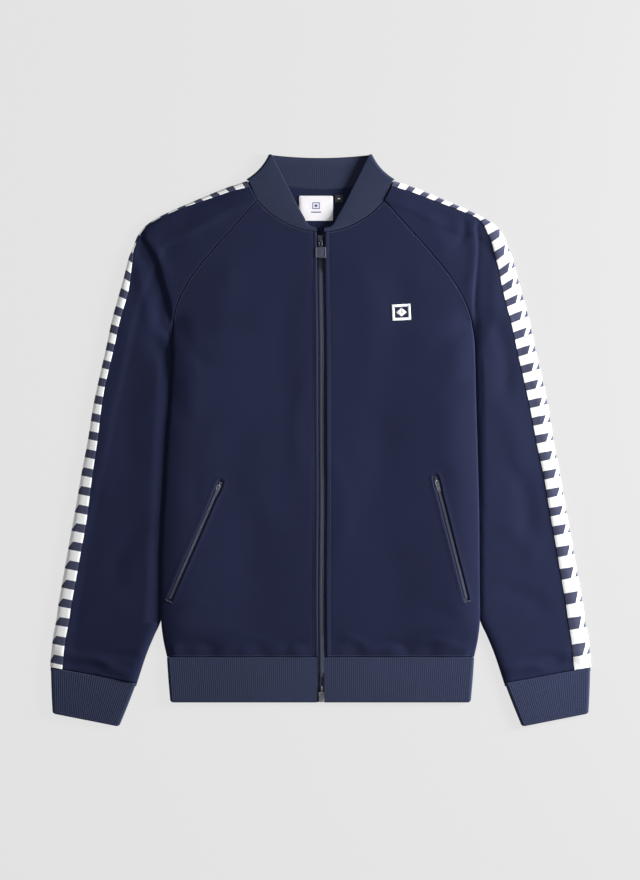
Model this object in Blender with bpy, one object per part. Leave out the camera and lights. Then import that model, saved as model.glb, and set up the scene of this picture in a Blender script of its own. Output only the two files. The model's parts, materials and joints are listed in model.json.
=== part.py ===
"""Track jacket laid flat on its back: raglan sleeves with a tape down each, ribbed collar, cuffs and hem.

Lengths here are in millimetres, and become metres where a mesh is made. X runs to the wearer's left, Y to
the collar and Z up from the surface. The origin is the middle of the outline, on that surface. Both halves
share one outline, written for the wearer's left and mirrored; pockets, tapes and folds have a side each.
"""

import bmesh
import bpy
import numpy as np
from mathutils.bvhtree import BVHTree

MM = 0.001
SIDES = {"l": 1, "r": -1}

# Walls, and the spaces between the layers
SEAM = 0.3  # between two pieces sewn together
CLOTH = 1.6
RIB = 2.4  # cuffs and hem, doubled
COLLAR_RIB = 2.6  # doubled
TAPE = 1.0
BODY_GAP = 2.4  # between front and back
SLEEVE_GAP = 3.4  # inside a sleeve
COVERED_GAP = 1.0  # inside a sleeve, where the body lies on it
BODY_EDGE = 25.0  # how far in from the side seam the body's gap opens
SLEEVE_EDGE = 30.0  # and the sleeve's, from its folds
BODY_LIFT = 4.6  # how far the body rises to lie on a sleeve
LIFT_FULL = 36.0  # width of the raised side
LIFT_FADE = 36.0  # width over which it comes down again

# Body: the side seam from hem to armhole, and how far in from it the grid's columns stand
BODY_SIDE = (  # x, y
    (205.7, -289.0),
    (210.4, -266.0),
    (213.0, -243.0),
    (212.9, -200.0),
    (212.6, -155.0),
    (212.4, -110.0),
    (211.5, -65.0),
    (210.3, -20.0),
    (209.0, 25.0),
    (207.9, 65.0),
    (207.2, 98.0),
    (206.4, 124.0),
    (205.2, 141.0),
    (203.0, 158.0),
)
LIFT_ALONG = (-289.0, -243.0, 124.0, 158.0)  # y where the raised side starts, is full, is still full, ends
SIDE_STEPS = (0.0, 5.0, 12.0, 24.0, 38.0, 55.0, 75.0, 100.0, 130.0, 165.0)
RIGHT_SIDE_IN = (  # y, how far in the wearer's right side lies
    (-150.0, 0.0),
    (-79.0, 3.0),
    (-12.0, 5.0),
    (55.0, 8.0),
    (95.0, 9.6),
    (125.0, 9.6),
    (160.0, 5.0),
    (195.0, 2.0),
    (230.0, 0.0),
)
RIGHT_SIDE_X = (140.0, 190.0, 210.0, 246.0)  # -x where that starts, is full, is still full, ends
ZIP_EDGE = 5.0  # x of a front's edge
FRONT_NECK = ((5.0, 279.6), (26.8, 283.5), (46.9, 291.6), (67.0, 304.2), (85.1, 322.0))  # x, y
BACK_NECK = ((0.0, 336.7), (34.0, 338.6), (67.0, 344.0))  # x, y

# Sleeve: one row a section, from the neck over the armhole (row ARMPIT) to the cuff
SLEEVE = (  # inner x, inner y, outer x, outer y
    (85.1, 322.0, 98.3, 348.2),
    (97.3, 308.1, 126.0, 339.0),
    (109.6, 294.2, 152.0, 328.5),
    (122.1, 280.5, 178.0, 317.5),
    (134.6, 266.7, 203.0, 306.5),
    (146.8, 252.7, 223.0, 296.2),
    (158.8, 238.6, 236.5, 285.8),
    (170.3, 224.0, 245.5, 273.5),
    (180.8, 208.8, 250.8, 259.0),
    (190.4, 193.0, 257.0, 244.5),
    (198.0, 175.6, 264.0, 217.0),
    (203.0, 158.0, 272.5, 187.0),
    (205.2, 141.0, 277.0, 171.0),
    (206.4, 124.0, 281.5, 152.0),
    (200.5, 98.0, 287.0, 125.0),
    (193.5, 60.0, 296.0, 86.0),
    (190.0, 20.0, 304.5, 46.0),
    (188.5, -25.0, 311.6, 1.0),
    (189.0, -70.0, 320.0, -43.0),
    (191.0, -115.0, 327.7, -88.0),
    (195.5, -160.0, 336.0, -133.0),
    (203.0, -203.0, 343.5, -176.0),
    (213.8, -241.0, 350.5, -215.0),
    (222.4, -260.0, 354.0, -240.0),
    (233.5, -287.0, 358.5, -264.5),
    (245.5, -323.5, 362.3, -302.0),
)
ARMPIT = 11
COVERED_ROWS = range(14, 22)  # sections whose inner end lies under the body
BACK_RAGLAN_SHIFT = (-18.1, 22.0)  # at the neck, from the front raglan seam to the back one
BACK_RAGLAN_ROWS = 7  # sections over which the two seams come together

# Tape: its whole width, how much of it shows in front at some of the sleeve's sections, and its thickness
TAPE_WIDTH = 36.0
TAPE_SHOWN = {  # section, width shown
    "l": ((0, 7.0), (2, 6.5), (5, 3.0), (9, 15.0), (11, 18.0), (25, 22.0)),
    "r": ((0, 11.0), (4, 1.5), (9, 1.5), (14, 6.0), (20, 12.0), (25, 14.5)),
}
TAPE_RAMP = 12.0  # width over which the sleeve comes down to the surface beside the tape

# The deepest fold of each sleeve, down from the shoulder to the armhole
CAP_FOLD = {  # x, y
    "l": ((210.0, 286.0), (209.0, 240.0), (205.0, 195.0), (204.0, 160.0)),
    "r": ((232.5, 267.0), (216.0, 230.0), (203.0, 190.0), (200.0, 162.0)),
}
FOLD_DEPTH = 1.5
FOLD_WIDTH = 9.0

# Collar, hem and cuffs
COLLAR_NECK = (98.5, 349.7)  # where the collar folds at its seam
COLLAR_CORNER = (67.0, 384.0)  # and at its top
COLLAR_BACK_TOP = 379.0
COLLAR_FRONT_TOP = ((43.6, 340.4), (24.0, 303.0), (12.7, 286.8), (5.6, 285.4))  # x, y, down to the zip
COLLAR_FLAP = 4.7  # height of the middle of the front's wall
COLLAR_BOW = 4.2  # how far its folded edge bows in
SIDEWAYS = np.array([1.0, 0.0])
BOW_REACH = 16.0
HEM_BOTTOM = -349.7
HEM_BOTTOM_SIDE = 201.0
RIB_FRONT = 5.6  # height of the middle of the front's wall, on hem and cuffs
CORNER = 3.0  # radius of the lower corners
CUFF_SEAM = ((246.5, -323.9), (360.8, -302.8))  # inner x, y and outer x, y
CUFF_END = ((269.5, -382.0), (358.5, -364.5))

# Front zip, with its slider at the top
CHAIN_HALF = 2.8
CHAIN_Z = (2.9, 5.1)
ZIP_TAPE_X = (3.1, 15.0)
ZIP_TAPE_Z = (3.1, 3.7)
ZIP_BOTTOM = -349.0
SLIDER_WINGS = ((1.95, 2.65), (5.4, 6.6))  # z of the lower and the upper wing
SLIDER_ENDS = (-6.0, 4.0, 7.0)  # y of the slider's mouth, of its post and of its end, from its middle
BOX_SIZE = (8.0, 13.0, 2.9)
SLIDER_Y = 268.0  # the pull's axis
SLIDER_HALF = 4.2
PULL_AXIS_Z = 7.8
PULL_SIDE = 14.7
PULL_THICK = 2.6
LINK_WIRE = 0.6
LINK_LENGTH = 8.0

# Pocket zips: from the top, where the slider rests, to the bottom
POCKETS = {"l": ((153.4, -48.2), (195.0, -211.7)), "r": ((-133.3, -55.0), (-201.7, -211.7))}
SLOT_HALF = 3.0
POCKET_TAPE_HALF = 6.0
POCKET_TAPE = 0.5
POCKET_CHAIN_HALF = 2.0
POCKET_PULL = (5.0, 14.5, 1.4)  # width, length beyond its axis, thickness
POCKET_AXIS = 3.2  # height of the pull's axis above the cloth

# Trim
BADGE = {"centre": (107.9, 172.0), "size": (24.0, 21.0), "turn": 3.0, "thick": 0.8}
NECK_LABEL = {"centre": (-6.0, 311.5), "size": (45.5, 33.5), "thick": 0.6}
SIZE_TAB = {"centre": (24.8, 323.5), "size": (11.0, 8.0), "thick": 0.6}

NAVY = (0.016, 0.020, 0.052)
RIB_NAVY = (0.036, 0.045, 0.095)
COLOURS = {  # name: colour, roughness, metallic
    "cloth": (NAVY, 0.85, 0.0),
    "rib": (RIB_NAVY, 0.9, 0.0),
    "tape": ((0.62, 0.63, 0.64), 0.6, 0.0),
    "zip_tape": ((0.018, 0.022, 0.040), 0.8, 0.0),
    "zip_metal": ((0.030, 0.034, 0.055), 0.45, 0.3),
    "moulding": ((0.020, 0.024, 0.045), 0.5, 0.0),
    "white": ((0.88, 0.88, 0.87), 0.6, 0.0),
    "black": ((0.015, 0.015, 0.018), 0.7, 0.0),
}


def material(name):
    """The material of this name, made the first time that it is asked for."""
    if name in bpy.data.materials:
        return bpy.data.materials[name]
    made = bpy.data.materials.new(name)
    made.use_nodes = True
    shader = made.node_tree.nodes["Principled BSDF"]
    colour, roughness, metallic = COLOURS[name]
    shader.inputs["Base Color"].default_value = (*colour, 1.0)
    shader.inputs["Roughness"].default_value = roughness
    shader.inputs["Metallic"].default_value = metallic
    return made


def add_object(name, bm, finish, at=(0.0, 0.0, 0.0)):
    """A named object from a bmesh in millimetres, its origin at a place in millimetres."""
    bmesh.ops.recalc_face_normals(bm, faces=bm.faces)
    bmesh.ops.translate(bm, verts=bm.verts, vec=[-c for c in at])
    bmesh.ops.scale(bm, verts=bm.verts, vec=(MM, MM, MM))
    mesh = bpy.data.meshes.new(name)
    bm.to_mesh(mesh)
    bm.free()
    mesh.materials.append(material(finish))
    mesh.shade_smooth()
    mesh.set_sharp_from_angle(angle=0.6)
    made = bpy.data.objects.new(name, mesh)
    made.location = [c * MM for c in at]
    bpy.context.scene.collection.objects.link(made)
    return made


def ease(t):
    """0 to 1, slow at both ends."""
    t = np.clip(t, 0.0, 1.0)
    return t * t * (3.0 - 2.0 * t)


def dome(t):
    """0 to 1 as a quarter of an ellipse, steep at the start."""
    return np.sqrt(1.0 - (1.0 - np.clip(t, 0.0, 1.0)) ** 2)


def distance(points, line):
    """How far each point of a grid lies from a line of points."""
    line = np.array(line, float)
    best = np.full(points.shape[:-1], np.inf)
    for a, b in zip(line[:-1], line[1:]):
        t = np.clip(((points - a) @ (b - a)) / ((b - a) @ (b - a)), 0.0, 1.0)
        best = np.minimum(best, np.linalg.norm(points - (a + t[..., None] * (b - a)), axis=-1))
    return best


def smooth_line(points, count):
    """A smooth curve through some points, at count places evenly along it."""
    points = np.array(points, float)
    steps = np.linalg.norm(np.diff(points, axis=0), axis=1)
    along = np.concatenate([[0.0], np.cumsum(steps)])
    slope = np.gradient(points, along, axis=0)
    at = np.linspace(0.0, along[-1], count)
    k = np.clip(np.searchsorted(along, at, side="right") - 1, 0, len(points) - 2)
    h = (along[k + 1] - along[k])[:, None]
    t = (at - along[k])[:, None] / h
    ends = points[k] * (1 + 2 * t) * (1 - t) ** 2 + points[k + 1] * (3 - 2 * t) * t**2
    return ends + h * (slope[k] * t * (1 - t) ** 2 - slope[k + 1] * (1 - t) * t**2)


def coons(bottom, top, left, right):
    """A grid of points between four edges, facing edges having as many points as each other."""
    u = np.linspace(0.0, 1.0, len(bottom))[None, :, None]
    v = np.linspace(0.0, 1.0, len(left))[:, None, None]
    ruled = (1 - v) * bottom + v * top + (1 - u) * left[:, None] + u * right[:, None]
    low_corners = (1 - u) * bottom[0] + u * bottom[-1]
    high_corners = (1 - u) * top[0] + u * top[-1]
    return ruled - (1 - v) * low_corners - v * high_corners


EDGES = {
    "first row": (np.s_[0], np.s_[1]),
    "last row": (np.s_[-1], np.s_[-2]),
    "first column": (np.s_[:, 0], np.s_[:, 1]),
    "last column": (np.s_[:, -1], np.s_[:, -2]),
}


def square_to(line):
    """Unit vectors square to a line of points."""
    along = np.gradient(line, axis=0)
    across = np.stack([-along[:, 1], along[:, 0]], axis=1)
    return across / np.linalg.norm(across, axis=1)[:, None]


def inset(grid, edge, by):
    """Moves one edge of a grid of points inwards, square to that edge."""
    at, beside = EDGES[edge]
    across = square_to(grid[at])
    inward = np.sign(np.sum(across * (grid[beside] - grid[at]), axis=1))
    grid[at] += across * inward[:, None] * by


def lay(points, heights):
    """Points in the plane, raised to their heights."""
    return np.concatenate([points, heights[..., None]], axis=-1)


def wall(name, face, back, finish, ring=False):
    """A closed wall between two like grids of points. A ring's last row joins its first."""
    rows, columns = face.shape[:2]
    points = np.concatenate([face.reshape(-1, 3), back.reshape(-1, 3)])
    bm = bmesh.new()
    corners = [bm.verts.new(p) for p in points]

    def corner(layer, row, column):
        return corners[(layer * rows + row % rows) * columns + column]

    def out(row, column):
        return abs(face[row % rows, column, 0])

    for row in range(rows if ring else rows - 1):
        for column in range(columns - 1):
            outward = out(row, column) < out(row, column + 1)
            for layer in (0, 1):
                a, b = corner(layer, row, column), corner(layer, row, column + 1)
                c, d = corner(layer, row + 1, column + 1), corner(layer, row + 1, column)
                split = ((a, b, c), (a, c, d)) if outward else ((a, b, d), (b, c, d))
                for three in split:
                    bm.faces.new(three)
        for column in (0, columns - 1):
            a, b = corner(0, row, column), corner(0, row + 1, column)
            c, d = corner(1, row + 1, column), corner(1, row, column)
            bm.faces.new((a, b, c))
            bm.faces.new((a, c, d))
    for row in () if ring else (0, rows - 1):
        for column in range(columns - 1):
            a, b = corner(0, row, column), corner(0, row, column + 1)
            c, d = corner(1, row, column + 1), corner(1, row, column)
            bm.faces.new((a, b, c))
            bm.faces.new((a, c, d))
    return add_object(name, bm, finish)


def mirrored(points, sign):
    """Points moved to the other half of the jacket where sign is -1."""
    return points * np.array([sign] + [1.0] * (points.shape[-1] - 1))


# The body

SIDE_LINE = np.array(BODY_SIDE)
SECTIONS = np.array(SLEEVE)
FRONT_RAGLAN = SECTIONS[: ARMPIT + 1, :2]
_merge = np.clip(1 - np.arange(ARMPIT + 1) / BACK_RAGLAN_ROWS, 0.0, 1.0)[:, None] ** 1.5
BACK_RAGLAN = FRONT_RAGLAN + _merge * np.array(BACK_RAGLAN_SHIFT)


def body_half(centre, neck, raglan):
    """Half a body panel as a grid of points: rows go from hem to neck, columns from the centre out."""
    lower = []
    for side, y in BODY_SIDE:
        lower.append([(centre, y)] + [(side - step, y) for step in reversed(SIDE_STEPS)])
    lower = np.array(lower)
    top = smooth_line(neck, len(SIDE_STEPS) + 1)
    left = np.linspace(lower[-1, 0], top[0], len(raglan))
    upper = coons(lower[-1], top, left, raglan[::-1])
    return np.concatenate([lower[:-1], upper])


def body_lift(points):
    """How far a body panel is raised by the sleeve under its side."""
    x, y = np.abs(points[..., 0]), points[..., 1]
    side = np.interp(y, SIDE_LINE[:, 1], SIDE_LINE[:, 0])
    along = np.interp(y, LIFT_ALONG, (0.0, 1.0, 1.0, 0.0))
    return BODY_LIFT * along * (1 - ease((side - x - LIFT_FULL) / LIFT_FADE))


def body_gap(points):
    """The space between front and back, which closes at the side seam."""
    return SEAM + (BODY_GAP - SEAM) * dome(distance(points, BODY_SIDE) / BODY_EDGE)


def settle(points):
    """Lays the wearer's right side further in, with what joins it there."""
    moved = points.copy()
    x, y = -points[..., 0], points[..., 1]
    start, full, still_full, end = RIGHT_SIDE_X
    table = np.array(RIGHT_SIDE_IN)
    amount = np.interp(y, table[:, 0], table[:, 1])
    near = ease((x - start) / (full - start)) * (1 - ease((x - still_full) / (end - still_full)))
    moved[..., 0] += amount * near
    return moved


def seam_edges(grid, edges):
    for edge in edges:
        inset(grid, edge, SEAM / 2)
    return grid


def make_front(side):
    """One front, with the slit of its pocket cut through."""
    plan = body_half(ZIP_EDGE, FRONT_NECK, FRONT_RAGLAN)
    low = body_lift(plan) + CLOTH + body_gap(plan)
    plan = seam_edges(plan, ("first row", "last row", "last column"))
    face = mirrored(lay(plan, low + CLOTH), SIDES[side])
    back = mirrored(lay(plan, low), SIDES[side])
    return wall("front_" + side, settle(face), settle(back), "cloth")


def make_back():
    half = body_half(0.0, BACK_NECK, BACK_RAGLAN)
    low = body_lift(half)
    half = seam_edges(half, ("first row", "last row", "last column"))
    plan = np.concatenate([mirrored(half, -1)[:, :0:-1], half], axis=1)
    low = np.concatenate([low[:, :0:-1], low], axis=1)
    wall("back_panel", settle(lay(plan, low + CLOTH)), settle(lay(plan, low)), "cloth")


# The sleeves and their tapes


def tape_shown(side):
    """How much of the tape shows in front at each section of the sleeve."""
    table = np.array(TAPE_SHOWN[side])
    return np.interp(np.arange(len(SLEEVE)), table[:, 0], table[:, 1])


def tape_behind(side):
    return TAPE_WIDTH - tape_shown(side) - 2 * CLOTH - 2 * SEAM


def overarm():
    """The sleeve's outer fold, inside the tape."""
    line = SECTIONS[:, 2:]
    return line + square_to(line) * -(TAPE + SEAM)


def sleeve_plan(inner, strip):
    """A sleeve half as a grid, whose last two columns lie under the tape, a strip of a width for each row."""
    outer = overarm()
    width = np.linalg.norm(outer - inner, axis=1)
    tuck = 0.15 * width
    for row in COVERED_ROWS:
        side = np.interp(inner[row, 1], SIDE_LINE[:, 1], SIDE_LINE[:, 0])
        tuck[row] = side - inner[row, 0] + 4.0
    edge = width - strip
    thirds = [tuck + (edge - tuck) * k / 3 for k in range(3)]
    reach = [np.zeros_like(width)] + thirds + [edge, width - strip / 2, width]
    part = (np.array(reach) / width).T[..., None]
    return inner[:, None] * (1 - part) + outer[:, None] * part


def sleeve_inner(front):
    line = SECTIONS[:, :2].copy()
    if not front:
        line[: ARMPIT + 1] = BACK_RAGLAN
    return line


def tape_rise(plan, side):
    """How far the sleeve is held off the surface by the tape wrapped under its edge."""
    reach = distance(plan, overarm()) - tape_behind(side)[:, None]
    return (TAPE + SEAM) * (1 - ease(reach / TAPE_RAMP))


def sleeve_gap(plan):
    """The space inside a sleeve: none at its folds, little under the body."""
    most = BODY_GAP + (SLEEVE_GAP - BODY_GAP) * ease(distance(plan, FRONT_RAGLAN) / SLEEVE_EDGE)
    under = distance(plan, SECTIONS[ARMPIT:, :2]) / BODY_EDGE
    over = distance(plan, overarm()) / SLEEVE_EDGE
    gap = SEAM + (most - SEAM) * np.minimum(dome(under), dome(over))
    side = np.interp(plan[..., 1], SIDE_LINE[:, 1], SIDE_LINE[:, 0])
    clear = COVERED_GAP + (most - COVERED_GAP) * ease((plan[..., 0] - side - 6.0) / SLEEVE_EDGE)
    below = (plan[..., 1] < LIFT_ALONG[2]) & (plan[..., 1] > LIFT_ALONG[1])
    return np.where(below, np.minimum(gap, clear), gap)


def sleeve_fold(plan, side):
    return FOLD_DEPTH * np.exp(-((distance(plan, CAP_FOLD[side]) / FOLD_WIDTH) ** 2))


def make_sleeve(side):
    """Both halves of one sleeve, and the tape made from their points, moved out."""
    shown, behind = tape_shown(side), tape_behind(side)
    front, back = sleeve_plan(sleeve_inner(True), shown), sleeve_plan(sleeve_inner(False), behind)
    low = tape_rise(back, side)
    gap = sleeve_gap(front)
    high = CLOTH + tape_rise(front, side) + np.maximum(gap - sleeve_fold(front, side), SEAM)
    for name, plan, level in (("sleeve_front_", front, high), ("sleeve_back_", back, low)):
        seam_edges(plan, ("first row", "last row", "first column"))
        inset(plan, "first row", SEAM)
        face = settle(mirrored(lay(plan, level + CLOTH), SIDES[side]))
        wall(name + side, face, settle(mirrored(lay(plan, level), SIDES[side])), "cloth")
    make_tape(side, front, high + CLOTH, back)


def make_tape(side, front, top, back):
    """The tape: a strip on the front, round the fold, and a strip under the back."""
    fold = front[:, -1]
    out = square_to(SECTIONS[:, 2:])
    middle = (top[:, -1] + TAPE) / 2
    inner, outer = [], []
    for column in (-3, -2):
        inner.append(lay(front[:, column], top[:, column] + SEAM))
        outer.append(lay(front[:, column], top[:, column] + SEAM + TAPE))
    inner.append(lay(fold + out * SEAM, top[:, -1] + SEAM))
    outer.append(lay(fold + out * 0.8, top[:, -1] + SEAM + 0.8 * TAPE))
    inner.append(lay(fold + out * SEAM, middle))
    outer.append(lay(fold + out * (SEAM + TAPE), middle))
    inner.append(lay(fold + out * SEAM, np.full(len(fold), TAPE)))
    outer.append(lay(fold + out * 0.8, np.full(len(fold), 0.2)))
    for column in (-2, -3):
        inner.append(lay(back[:, column], np.full(len(fold), TAPE)))
        outer.append(lay(back[:, column], np.zeros(len(fold))))
    inner, outer = np.stack(inner, axis=1), np.stack(outer, axis=1)
    wall("tape_" + side, mirrored(outer, SIDES[side]), mirrored(inner, SIDES[side]), "tape")


# Ribbed collar, hem and cuffs: strips folded flat, given as sections from the seam to the free edge


def bowed(line, part):
    """A section's line, bowed in where it is near the collar's folded edge."""
    near = np.exp(-((distance(np.abs(line), (COLLAR_NECK, COLLAR_CORNER)) / BOW_REACH) ** 2))
    out = square_to(np.array((COLLAR_CORNER, COLLAR_NECK)))[0]
    out = mirrored(out, np.sign(line[0, 0]) or 1.0)
    return line - COLLAR_BOW * np.sin(np.pi * part) * near[:, None] * out


def strip_section(seam, free, height, turn, out, wall_thick, bow):
    """Face and back of one section of a folded strip. turn is -90 on the back, 90 on the front."""
    part = np.linspace(0.0, 1.0, 5 if bow else 3)[:, None]
    line = np.array(seam) * (1 - part) + np.array(free) * part
    if bow:
        line = bowed(line, part)
    angle = np.radians(turn)
    normal = np.array([out[0] * np.cos(angle), out[1] * np.cos(angle), np.sin(angle)])
    middle_line = lay(line, np.full(len(line), height))
    return middle_line + normal * wall_thick / 2, middle_line - normal * wall_thick / 2


def folded_strip(name, sections, wall_thick, ring=False, bow=False):
    """The wall of a strip, from its sections in order."""
    pairs = [strip_section(*section, wall_thick, bow) for section in sections]
    face = np.array([pair[0] for pair in pairs])
    back = np.array([pair[1] for pair in pairs])
    return wall(name, face, back, "rib", ring)


def fold_sections(seam, free, low, high, turns=(-45.0, 0.0, 45.0)):
    """The half-round sections of a fold, between the back's wall at one height and the front's at another."""
    seam, free = np.array(seam), np.array(free)
    along = (free - seam) / np.linalg.norm(free - seam)
    out = np.array([along[1], -along[0]])
    if out[0] * (seam[0] + free[0]) < 0:
        out = -out
    radius, centre = (high - low) / 2, (high + low) / 2
    made = []
    for turn in turns:
        shift = out * radius * np.cos(np.radians(turn))
        trim = along * CORNER * (1 - abs(turn) / 90.0) * 0.5
        height = centre + radius * np.sin(np.radians(turn))
        made.append((seam + shift, free + shift - trim, height, turn, out))
    return made


def flip(section):
    """The same section on the other half."""
    seam, free, height, turn, out = section
    seam, free, out = [mirrored(np.array(at), -1) for at in (seam, free, out)]
    return seam, free, height, turn, out


def make_collar():
    """One strip: front flap, fold, back of the neck, fold, front flap."""
    low = COLLAR_RIB / 2
    neck, corner = np.array(COLLAR_NECK), np.array(COLLAR_CORNER)
    along = (corner - neck) / np.linalg.norm(corner - neck)
    out = np.array([along[1], -along[0]])
    reach = (COLLAR_FLAP - low) / 2 + low
    neck, corner = neck - out * reach, corner - out * reach
    back_seam = smooth_line(BACK_NECK, len(SIDE_STEPS) + 1)
    back_seam = np.concatenate([back_seam + (0.0, SEAM / 2), [neck]])
    half = []
    for x, y in back_seam:
        part = x / neck[0]
        top = np.array([part * corner[0], COLLAR_BACK_TOP + (corner[1] - COLLAR_BACK_TOP) * part**2])
        half.append(((x, y), top, low, -90.0, out))
    half += fold_sections(neck, corner, low, COLLAR_FLAP)
    junction = [neck] + list(smooth_line(FRONT_NECK, len(SIDE_STEPS) + 1)[::-1])
    seam = np.array(junction)
    seam[1:] += square_to(seam[1:]) * -SEAM / 2
    step = np.linalg.norm(np.diff(seam, axis=0), axis=1)
    part = np.concatenate([[0.0], np.cumsum(step)]) / step.sum()
    edge = smooth_line((corner,) + COLLAR_FRONT_TOP, 60)
    index = part * (len(edge) - 1)
    for k, (x, y) in enumerate(seam):
        top = edge[int(round(index[k]))]
        half.append(((x, y), top, COLLAR_FLAP, 90.0, out))
    sections = [flip(s) for s in half[:0:-1]] + half
    folded_strip("collar", sections, COLLAR_RIB, bow=True)


def make_hem():
    """One strip: front, fold at the side, back, fold, front. It is open at centre front."""
    low = RIB / 2
    reach = (RIB_FRONT - low) / 2 + low
    seam_y = BODY_SIDE[0][1] - SEAM / 2
    side = BODY_SIDE[0][0]
    seam_end, free_end = (side - reach, seam_y), (HEM_BOTTOM_SIDE - reach, HEM_BOTTOM)
    taper = free_end[0] / seam_end[0]
    columns = [side - step for step in reversed(SIDE_STEPS) if side - step < seam_end[0]] + [seam_end[0]]
    fold = fold_sections(seam_end, free_end, low, RIB_FRONT)
    half = [((x, seam_y), (x * taper, HEM_BOTTOM), low, -90.0, SIDEWAYS) for x in [0.0] + columns]
    half += fold
    for x in columns[::-1] + [ZIP_EDGE]:
        free = x * taper if x > ZIP_EDGE else x
        half.append(((x, seam_y), (free, HEM_BOTTOM), RIB_FRONT, 90.0, SIDEWAYS))
    sections = [flip(s) for s in half[:0:-1]] + half
    folded_strip("hem_band", sections, RIB)


def make_cuff(side):
    """A tube, flattened: front, fold, back, fold."""
    low = RIB / 2
    reach = (RIB_FRONT - low) / 2 + low
    seam, free = np.array(CUFF_SEAM), np.array(CUFF_END)
    across = (seam[1] - seam[0]) / np.linalg.norm(seam[1] - seam[0])
    seam = np.array([seam[0] + across * reach, seam[1] - across * reach])
    free = np.array([free[0] + across * reach, free[1] - across * reach])
    parts = np.linspace(0.0, 1.0, 7)[:, None]
    seam_line, free_line = seam[0] * (1 - parts) + seam[1] * parts, free[0] * (1 - parts) + free[1] * parts
    outer_fold = fold_sections(seam[1], free[1], low, RIB_FRONT)
    inner_fold = []
    for seam_at, free_at, height, turn, out in fold_sections(seam[0], free[0], low, RIB_FRONT)[::-1]:
        seam_at, free_at = 2 * seam[0] - seam_at, free_at - 2 * (seam_at - seam[0])
        inner_fold.append((seam_at, free_at, height, turn, -out))
    rows = [(s, f, low, -90.0, SIDEWAYS) for s, f in zip(seam_line, free_line)] + outer_fold
    front = zip(seam_line[::-1], free_line[::-1])
    rows += [(s, f, RIB_FRONT, 90.0, SIDEWAYS) for s, f in front] + inner_fold
    if SIDES[side] < 0:
        rows = [flip(row) for row in rows]
    folded_strip("cuff_" + side, rows, RIB, ring=True)


# Hard pieces


def block(name, low, high, finish, bevel=0.0, at=(0.0, 0.0, 0.0)):
    """A box between two corners, with its edges bevelled."""
    bm = bmesh.new()
    bmesh.ops.create_cube(bm, size=1.0)
    low, high = np.array(low), np.array(high)
    bmesh.ops.scale(bm, verts=bm.verts, vec=high - low)
    bmesh.ops.translate(bm, verts=bm.verts, vec=(high + low) / 2)
    if bevel:
        bmesh.ops.bevel(bm, geom=bm.edges[:], offset=bevel, segments=2, profile=0.5, affect="EDGES")
    return add_object(name, bm, finish, at)


def profile_block(name, outline, half_width, finish, at):
    """An outline of (y, z) points carried across X, from -half_width to half_width."""
    bm = bmesh.new()
    near = [bm.verts.new((at[0] - half_width, at[1] + y, at[2] + z)) for y, z in outline]
    far = [bm.verts.new((at[0] + half_width, at[1] + y, at[2] + z)) for y, z in outline]
    bm.faces.new(near)
    bm.faces.new(far[::-1])
    count = len(outline)
    for k in range(count):
        bm.faces.new((near[k], far[k], far[(k + 1) % count], near[(k + 1) % count]))
    return add_object(name, bm, finish, at)


def join_shape(target, helper, operation):
    """Adds or cuts a hidden helper with an exact Boolean."""
    helper.hide_render = True
    helper.display_type = "WIRE"
    modifier = target.modifiers.new(operation.lower(), "BOOLEAN")
    modifier.operation = operation
    modifier.solver = "EXACT"
    modifier.object = helper


def bridge_outline(half, rise, base, wall_thick=1.1):
    """The arch over a pull's bar, with its feet sunk in the plate under it."""
    inner, top = half, rise
    outer, crown = half + wall_thick, rise + wall_thick
    return (
        (-outer, base),
        (-inner, base),
        (-inner, top),
        (inner, top),
        (inner, base),
        (outer, base),
        (outer, crown - 0.6),
        (outer - 0.8, crown),
        (-outer + 0.8, crown),
        (-outer, crown - 0.6),
    )


def make_front_zip():
    """Two tapes under the fronts, the closed chain between them, and the box at the bottom."""
    top = SLIDER_Y + 3.7
    for side, sign in SIDES.items():
        xs = sorted(sign * x for x in ZIP_TAPE_X)
        low, high = (xs[0], ZIP_BOTTOM, ZIP_TAPE_Z[0]), (xs[1], top, ZIP_TAPE_Z[1])
        block("zip_tape_" + side, low, high, "zip_tape")
    box_top = ZIP_BOTTOM + BOX_SIZE[1]
    low, high = (-CHAIN_HALF, box_top + SEAM, CHAIN_Z[0]), (CHAIN_HALF, top, CHAIN_Z[1])
    block("zip_chain", low, high, "zip_metal", bevel=0.4)
    half = BOX_SIZE[0] / 2
    high_z = ZIP_TAPE_Z[1] + SEAM + BOX_SIZE[2]
    low = (-half, ZIP_BOTTOM, ZIP_TAPE_Z[1] + SEAM)
    block("zip_box", low, (half, box_top, high_z), "zip_metal", bevel=0.5)


def make_front_slider():
    """Two wings joined by a post at the top end, with a bridge for the pull's link."""
    at = (0.0, SLIDER_Y, PULL_AXIS_Z)
    (low_0, low_1), (high_0, high_1) = [[z - PULL_AXIS_Z for z in wing] for wing in SLIDER_WINGS]
    mouth, post, end = SLIDER_ENDS
    body = (
        (mouth, low_0),
        (end, low_0),
        (end, high_1),
        (mouth, high_1),
        (mouth, high_0),
        (post, high_0),
        (post, low_1),
        (mouth, low_1),
    )
    slider = profile_block("zip_slider", body, SLIDER_HALF, "zip_metal", at)
    arch = bridge_outline(2.4, 1.0, high_1 - 0.6)
    join_shape(slider, profile_block("zip_bridge_helper", arch, 1.0, "zip_metal", at), "UNION")


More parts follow.
